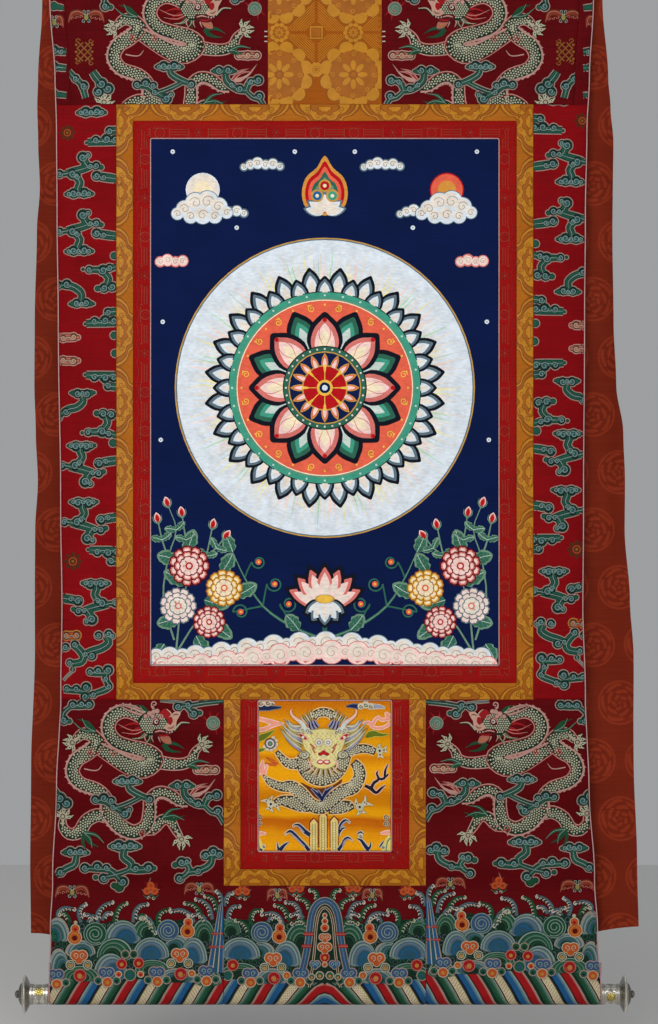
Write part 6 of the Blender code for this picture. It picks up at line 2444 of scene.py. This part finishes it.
def mandala(sew):
    x, y = MANDALA
    discs(sew, x, y, ((150, "gold"), (148.8, "steel"), (147.6, "frost")), 0)
    rays(sew, 92, 146)
    petal_ring(sew, x, y, 24, 88, 121, 10.2, "ink steel frost white", 2, 7.5)
    petal_ring(sew, x, y, 24, 86, 112, 9.4, "ink steel frost white", 3.8)
    discs(sew, x, y, ((96.5, "ink"), (95.6, "jade"), (89.6, "fern"), (88.2, "cream"), (87.2, "coral")), 5.4)
    for outer, inner in zip(around(x, y, 92.6, 32), around(x, y, 83.2, 32)):
        sew.spot(*outer[:2], 1.1, "mint", 7, sides=8)
        sew.spot(*inner[:2], 1.1, "lemon", 7, sides=8)
    petal_ring(sew, x, y, 8, 34, 82, 16.5, "ink leaf jade mint", 7, 22.5)
    petal_ring(sew, x, y, 8, 28, 76, 18.0, "ink rose petal cream", 9.2)
    for index in range(8):
        turn = 45 * index
        for side in (-1, 1):
            spot = turned_outline(x, y, turn + side * 9.5, [(80, 0)])[0]
            sew.spiral(*spot, 3.8, "lemon", 11, 1.4, turn, 0.9, side)
            vein = [(42, side * 1.5), (54, side * 6.0), (66, side * 2.0)]
            sew.ribbon(turned_outline(x, y, turn, vein), [0.4, 0.9, 0.3], "rose", 11.5)
        sew.spot(*turned_outline(x, y, turn, [(68, 0)])[0], 2.2, "red", 11.5)
    discs(sew, x, y, ((42, "ink"), (41, "leaf"), (36.5, "gold"), (35.3, "navy")), 11.6)
    for spot_x, spot_y, _ in around(x, y, 38.8, 32):
        sew.spot(spot_x, spot_y, 1.0, "white", 12.8, sides=8)
    petal_ring(sew, x, y, 16, 18, 34.5, 3.4, "gold coral petal", 13)
    discs(sew, x, y, ((23, "gold"), (21.6, "red")), 14.4)
    for index in range(8):
        spoke = turned_outline(x, y, 45 * index, path("4,0 21.6,0"))
        sew.bar(*spoke, [1.6, 2.6], "lemon", 15)
        sew.spot(*spoke[1], 1.8, "lemon", 15.5, sides=8)
    discs(sew, x, y, ((8.0, "lemon"), (6.6, "navy"), (3.4, "frost")), 15.6)


# %% Sky, flowers and the lotus
def sky(sew):
    x = MANDALA[0]
    for side, colours in ((-1, ("frost", "white", "cream")), (1, ("red", "coral", "amber"))):
        spot = (x + side * 122, 190)
        discs(sew, *spot, tuple(zip((17, 15.8, 10.5), colours)), 3, 0.4)
        painted_cloud(sew, spot[0], spot[1] + 18, 12, BLUE_CLOUD, HEAP, 5)
        painted_cloud(sew, spot[0] - side * 26, spot[1] + 22, 8, BLUE_CLOUD, LOW_HEAP, 4)
        painted_cloud(sew, x + side * 60, 165, 8, BLUE_CLOUD, LOW_HEAP, 2)
        painted_cloud(sew, x + side * 150, 262, 8, PINK_CLOUD, LOW_HEAP[1:5], 2)
    for side in (-1, 1):
        for across, y in ((152, 152), (30, 152), (88, 228), (162, 322), (164, 440)):
            discs(sew, x + side * across, y, ((2.2, "frost"), (0.9, "steel")), 2)
    aureole = path("0,156 8,168 19,178 23,194 18,209 0,216")
    for index, colour in enumerate(("amber", "red", "coral", "leaf", "fern")):
        shrink = 1 - 0.14 * index
        line = [(a * shrink, 194 + (b - 194) * shrink) for a, b in aureole]
        line += [(-a, b) for a, b in line[-2:0:-1]]
        sew.patch([(x + a, b) for a, b in line], colour, 3 + 0.4 * index, rim=0.4)
    for turn in (-166, -142, -116, -90, -64, -38, -14):
        petal(sew, x, 214, turn, 2, 22, 5.2, "steel frost white", 6 + 0.01 * abs(turn + 90))
    for across, down, colour in ((-7.6, 196, "blue"), (7.6, 196, "jade"), (0, 186, "red")):
        discs(sew, x + across, down, ((6.4, "gold"), (5.4, colour), (2.2, "cream")), 8)


FLOWER_STEMS = """176,650 180,612 186,586 192,556 | 178,650 196,622 216,606 226,590
| 174,640 163,600 168,558 176,530 168,506 | 168,558 162,540 158,522 | 192,560 186,540 182,516
| 198,580 206,556 212,528 | 206,556 216,548 224,538"""
# x, y, direction, length
LEAVES = """186,584,-150,26 204,600,14,26 178,620,170,22 212,622,40,26 186,552,-70,24 236,596,-30,24
176,560,-165,20 196,636,60,22 222,572,-60,22 164,644,120,20"""


def flower_bank(sew):
    """Peonies, leaves and buds at the lower left."""
    for stem in map(path, FLOWER_STEMS.split("|")):
        sew.ribbon(stem, [2.0, 1.6, 1.2, 0.8][: len(stem)], "fern", 1)
        if stem[-1][1] < 545:
            lean = math.degrees(math.atan2(stem[-1][1] - stem[-2][1], stem[-1][0] - stem[-2][0]))
            bud(sew, *stem[-1], lean, 4.4)
            for side in (-1, 1):
                broad_leaf(sew, *stem[-2], lean + side * 65, 12, 4, 2)
    for leaf in path(LEAVES):
        broad_leaf(sew, *leaf, 8)
    peony(sew, 189, 566, 20, RED_PEONY, 5)
    peony(sew, 224, 588, 18, YELLOW_PEONY, 6)
    peony(sew, 178, 606, 18, PALE_PEONY, 7)
    peony(sew, 209, 622, 16, RED_PEONY, 5)


def lotus_on_clouds(sew):
    """A lotus between winding vines, over a long bank of clouds."""
    x = MANDALA[0]
    for side in (-1, 1):
        vine = [(x + side * a, b) for a, b in path("0,640 34,626 62,606 80,578 92,552")]
        for width, colour, layer in ((3.0, "leaf", 2), (1.1, "fern", 3)):
            sew.ribbon(vine, [width, width, width * 0.8, width * 0.6, 0.6], colour, layer)
        for index, c, d, reach in ((1, 36, 604, 9), (2, 50, 584, 8), (2, 84, 612, 8), (3, 66, 562, 7)):
            (a, b), eye = vine[index], x + side * c
            curl = [(a, b), ((a + eye) / 2 + side * 4, (b + d) / 2), (eye + side * reach, d)]
            sew.ribbon(curl, [1.8, 1.6, 1.4], "leaf", 2)
            sew.spiral(eye, d, reach, "leaf", 2, 1.5, 90 - 90 * side, 1.6, side if d < b else -side)
            discs(sew, eye, d, ((2.8, "coral"), (1.4, "lemon")), 4)
        broad_leaf(sew, x + side * 26, 630, -90 + side * 40, 20, 8, 3)
        broad_leaf(sew, *vine[4], -90 + side * 24, 20, 7, 3)
    bank = [(a, 650 - 7 * math.cos(a / 52), 0.9 + 0.25 * math.sin(a * 1.7)) for a in np.arange(-168, 169, 13)]
    for row, colours in ((0, BLUE_CLOUD), (1, PINK_CLOUD)):
        lobes = [(a / 10 + 0.6 * row, (b - 650) / 10 + 0.9 * row, reach) for a, b, reach in bank]
        painted_cloud(sew, x, 650, 10, colours, lobes, 5 + 2 * row)
    sew.ribbon([(x, 646), (x, 600), (x, 570)], [5, 4, 4], "leaf", 2)
    for turn in (-156, -24, -134, -46, -112, -68, -90):
        petal(sew, x, 606, turn, 0, 44, 10.5, "ink rose petal white", 9 + (90 - abs(turn + 90)) / 30)
    for turn in (156, 24, 128, 52, 90):
        petal(sew, x, 604, turn, 0, 24, 9, "ink steel frost white", 13 + (90 - abs(turn - 90)) / 60)
    for radius, colour, layer in ((10, "gold", 16), (8.6, "lemon", 16.4)):
        sew.spot(x, 599, radius, colour, layer, squash=0.45)
    seeds = [(x + a, 599 + b) for a, b in ((-5, 0), (0, -1.4), (5, 0), (-2.4, 1.8), (2.4, 1.8))]
    sew.scatter(seeds, 0.8, "leaf", 17, sides=6)


sew = Needle(panels["painting"], lift=PAINT_LAYER)
for side in ("left", "right"):
    sew.place(side=side)
    flower_bank(sew)
sew.place()
mandala(sew)
lotus_on_clouds(sew)
sky(sew)
sew.finish("painted_mandala", paint_finish, "painted_cotton")

# %% [markdown]
# ## Silver knobs
# The roller ends in turned silver: a chased ferrule with gilt flowers, a flange with petals and a beaded
# rim, and a domed tip. Each is a fine grid wrapped round the roller. Its relief is worked out from the
# angle and the reach, and its hollows are dark, as old silver's are.

# %% Turned silver with relief
KNOB_SIDES = 144
SILVER_BRIGHT = np.array(srgb(226, 222, 214))
SILVER_DARK = np.array(srgb(34, 30, 26))
# reach, radius, rows from the point before
FERRULE = """0,0.0128,0 0,0.0146,1 0.003,0.0146,6 0.0038,0.0139,2 0.0215,0.0139,30 0.0223,0.0146,2
0.0255,0.0146,6 0.0255,0.0128,1 0,0.0128,1"""
FLANGE = """0,0,0 0,0.0146,1 0.002,0.0172,7 0.0045,0.0222,12 0.006,0.0258,8 0.0074,0.0266,4
0.009,0.0256,4 0.009,0.018,10 0.009,0,1"""
TIP = """0,0,0 0,0.0176,1 0.0016,0.0172,4 0.0045,0.0136,10 0.0064,0.0086,10 0.0074,0.005,6
0.0092,0.006,6 0.0112,0.0048,6 0.0126,0.0022,5 0.013,0,3"""


def turned_silver():
    """Silver whose brightness is each face's own, a little uneven and scratched."""
    silver = Finish("chased silver", 0.30, 1.0, gloss=0.5)
    place = silver.node("TexCoord", 3)
    tarnish = silver.node("TexNoise", Vector=place, Scale=320.0, Detail=3.0)
    along = silver.stretched(place, (300, 2600, 2600))
    scratches = silver.node("TexNoise", Vector=along, Scale=1.0, Detail=2.0)
    tone = tarnish * 0.5 + 0.62
    tint = silver.node("CombineColor", Red=tone, Green=tone, Blue=tone * 0.96)
    silver.colour(1.0, silver.node("Attribute", attribute_name="thread"), tint, "MULTIPLY")
    silver.set("Roughness", scratches * 0.25 + 0.16)
    silver.bump(scratches, 0.25, 0.0002)
    return silver.made


silver_finish = turned_silver()


def window(value, low, high, edge):
    """1 between two values and 0 outside, with soft ends."""
    return ease((value - low) / edge + 0.5) * ease((high - value) / edge + 0.5)


def ferrule_relief(angle, reach, _):
    rope = 0.5 + 0.5 * np.sin(44 * angle + 2 * math.pi * reach / 0.0021)
    ends = np.maximum(window(reach, 0.0002, 0.0030, 0.0004), window(reach, 0.0225, 0.0253, 0.0004))
    vine = np.abs((reach - 0.0126) / 0.0062 - 0.72 * np.sin(9 * angle))
    stem = np.exp(-((vine / 0.16) ** 2))
    lines = np.exp(-(((reach - 0.0052) / 0.0004) ** 2)) + np.exp(-(((reach - 0.0200) / 0.0004) ** 2))
    ground = 0.52 + 0.16 * np.sin(90 * angle) * np.sin(2 * math.pi * reach / 0.0011)
    middle = np.clip(ground + 0.48 * stem + 0.4 * lines, 0, 1)
    return 0.00030 * (ends * rope + (1 - ends) * middle), ends * (0.3 + 0.7 * rope) + (1 - ends) * middle


def flange_relief(angle, reach, radius):
    petal = np.abs(np.cos(14 * angle)) ** 0.5
    rib = np.exp(-((np.sin(14 * angle) / 0.16) ** 2)) * 0.5
    on_cone = window(radius, 0.0160, 0.0250, 0.0012) * (reach < 0.0075)
    rays = 0.5 + 0.5 * np.cos(56 * angle)
    behind = window(radius, 0.0185, 0.0245, 0.0010) * (reach > 0.0085)
    pattern = on_cone * np.clip(petal - rib, 0, 1) + behind * rays
    return 0.00060 * pattern, np.clip(0.80 - 0.78 * (on_cone + behind) * (1 - 0.75 * pattern), 0, 1)


def tip_relief(angle, reach, radius):
    swirl = np.sin(11 * angle + reach * 900) * np.sin(11 * angle - reach * 900)
    wire = np.exp(-((swirl / 0.35) ** 2))
    on_dome = window(radius, 0.0075, 0.0166, 0.0012) * (reach > 0.0004) * (reach < 0.0070)
    pattern = on_dome * wire
    return 0.00045 * pattern, np.clip(0.34 * (1 - on_dome) + 0.52 * pattern, 0, 1)


class Turned:
    """One turned piece of the knob. Its flat frame has the arc at radius 1/100 m as x and the run as drop."""

    arc = 0.014

    def __init__(self, side, kind, profile, relief):
        self.name, self.node = f"silver_{kind}_{side}", f"knob_{kind}_{side}"
        self.sign = -1 if side == "left" else 1
        self.near = min(abs(corner[0]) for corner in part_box(self.node))
        self.profile, self.relief = path(profile), relief
        line = np.array([row[:2] for row in self.profile])
        self.runs = np.concatenate([[0.0], np.cumsum(np.linalg.norm(np.diff(line, axis=0), axis=1))])
        self.rows = [0.0]
        for start, end, (_, _, count) in zip(self.runs, self.runs[1:], self.profile[1:]):
            self.rows += [start + (end - start) * (part + 1) / count for part in range(int(count))]

    def at(self, run):
        return [np.interp(run, self.runs, [row[axis] for row in self.profile]) for axis in (0, 1)]

    def wrap(self, points):
        """Takes points of the flat frame to their places round the roller."""
        across, run, height = points.T
        angle = across / self.arc
        (reach, radius), step = self.at(run), 0.0001
        before, after = self.at(run - step), self.at(run + step)
        along = np.stack([after[0] - before[0], after[1] - before[1]], 1)
        along /= np.maximum(np.linalg.norm(along, axis=1), 1e-9)[:, None]
        reach = reach - along[:, 1] * height
        radius = np.maximum(radius + along[:, 0] * height, 0)
        y, z = ROLLER_Y - radius * np.cos(angle), AXIS_Z + self.sign * radius * np.sin(angle)
        return np.stack([self.sign * (self.near + reach), y, z], 1)

    def lay(self):
        columns = list(np.linspace(-math.pi * self.arc, math.pi * self.arc, KNOB_SIDES + 1))
        small = flat_grid(columns, self.rows)
        thread = small.faces.layers.float_color.new("thread")
        flat = np.array([vert.co[:] for vert in small.verts])
        reach, radius = self.at(flat[:, 1])
        heights, tones = self.relief(flat[:, 0] / self.arc, reach, radius)
        for vert, height in zip(small.verts, heights):
            vert.co.z = height
        small.verts.index_update()
        for face in small.faces:
            tone = float(np.mean([tones[vert.index] for vert in face.verts]))
            face[thread] = SILVER_DARK + (SILVER_BRIGHT - SILVER_DARK) * tone
        mesh = lay_out(to_mesh(self.name, small), self.wrap)
        welded = bmesh.new()
        welded.from_mesh(mesh)
        bmesh.ops.remove_doubles(welded, verts=welded.verts, dist=2e-6)
        welded.to_mesh(mesh)
        welded.free()
        mesh.shade_smooth()
        mesh.set_sharp_from_angle(angle=math.radians(60))
        piece = add_piece(self.name, mesh, silver_finish)
        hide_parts(self.node)
        print(f"{self.name}: {len(mesh.polygons)} faces")


# %% Beads and gilt flowers
BEAD_RINGS = (
    # count, reach, radius of the ring, radius of a bead: on the flange's rim, and round the tip's foot
    (78, 0.0074, 0.0264, 0.00095),
    (54, 0.0106, 0.0177, 0.0008),
)
GILT_TURN = {"left": -24.0, "right": -10.0}
FLOWER_RUN = 0.0018 + 0.0126


def add_beads(side, start):
    """A ring of beads on the flange's rim, and a smaller one round the tip's foot."""
    small = bmesh.new()
    thread = small.faces.layers.float_color.new("thread")
    sign = -1 if side == "left" else 1
    for count, reach, radius, size in BEAD_RINGS:
        for index in range(count):
            angle = 2 * math.pi * index / count
            y, z = ROLLER_Y - radius * math.cos(angle), AXIS_Z + radius * math.sin(angle)
            place = Matrix.Translation((sign * (start + reach), y, z))
            bmesh.ops.create_icosphere(small, subdivisions=1, radius=size, matrix=place)
    for face in small.faces:
        face[thread] = SILVER_BRIGHT
    mesh = to_mesh(f"silver_beads_{side}", small)
    mesh.shade_smooth()
    add_piece(mesh.name, mesh, silver_finish)


def gild(ferrule, side):
    """Three gilt flowers round the ferrule, with silver scrolls between them."""
    panel = Panel(-math.pi * ferrule.arc, math.pi * ferrule.arc, 0.0, ferrule.runs[-1], cloth=0.0)
    sew = Needle(panel, surface=ferrule.wrap)
    level = FLOWER_RUN / STEP - GRID_TOP
    for third in range(3):
        middle = GRID_MIDDLE + ferrule.arc * math.radians(120 * third - 120 + GILT_TURN[side]) / STEP
        sew.place(middle, level)
        for reach, colour, layer, start in ((3.3, "gilt", 1, 22.5), (1.9, "gilding", 2, 0)):
            for x, y, turn in around(0, 0, reach, 8, start):
                sew.spot(x, y, 0.47 * reach, "umber", layer, squash=0.8, turn=turn, sides=10)
                sew.spot(x, y, 0.40 * reach, colour, layer + 0.6, squash=0.66, turn=turn, sides=10)
        sew.spot(0, 0, 1.1, "umber", 3)
        sew.spot(0, 0, 0.8, "gilding", 3.6)
        for way in (-1, 1):
            sew.place(middle + way * 10.0, level)
            for up in (-1, 1):
                sew.spiral(0, up * 2.8, 2.2, "silver", 1, 1.5, 90 * up, 0.9, way * up)
                sew.spot(-way * 3.4, up * 3.4, 1.3, "silver", 1, squash=0.6, turn=way * up * -35)
    sew.finish(f"gilt_flowers_{side}", silver_finish, "silver")


for side in ("left", "right"):
    ferrule = Turned(side, "ferrule", FERRULE, ferrule_relief)
    flange = Turned(side, "flange", FLANGE, flange_relief)
    tip = Turned(side, "tip", TIP, tip_relief)
    for part in (ferrule, flange, tip):
        part.lay()
    add_beads(side, flange.near)
    gild(ferrule, side)

# %% Wood for the roller
def turned_wood():
    wood = Finish("roller wood", 0.55)
    place = wood.node("TexCoord", 3)
    grain = wood.node("TexNoise", Vector=wood.stretched(place, (14, 420, 420)), Scale=1.0, Detail=4.0)
    rings = wood.node(
        "TexWave", Vector=wood.stretched(place, (3, 90, 90)), wave_type="RINGS", Scale=1.0, Distortion=4.0
    )
    wood.colour(grain * 0.6 + rings * 0.4, srgb(120, 84, 48), srgb(204, 168, 118))
    wood.bump(grain, 0.3, 0.0003)
    return wood.made


for slot in bpy.data.objects["roller_dowel"].material_slots:
    slot.material = turned_wood()
print("roller and knobs done")
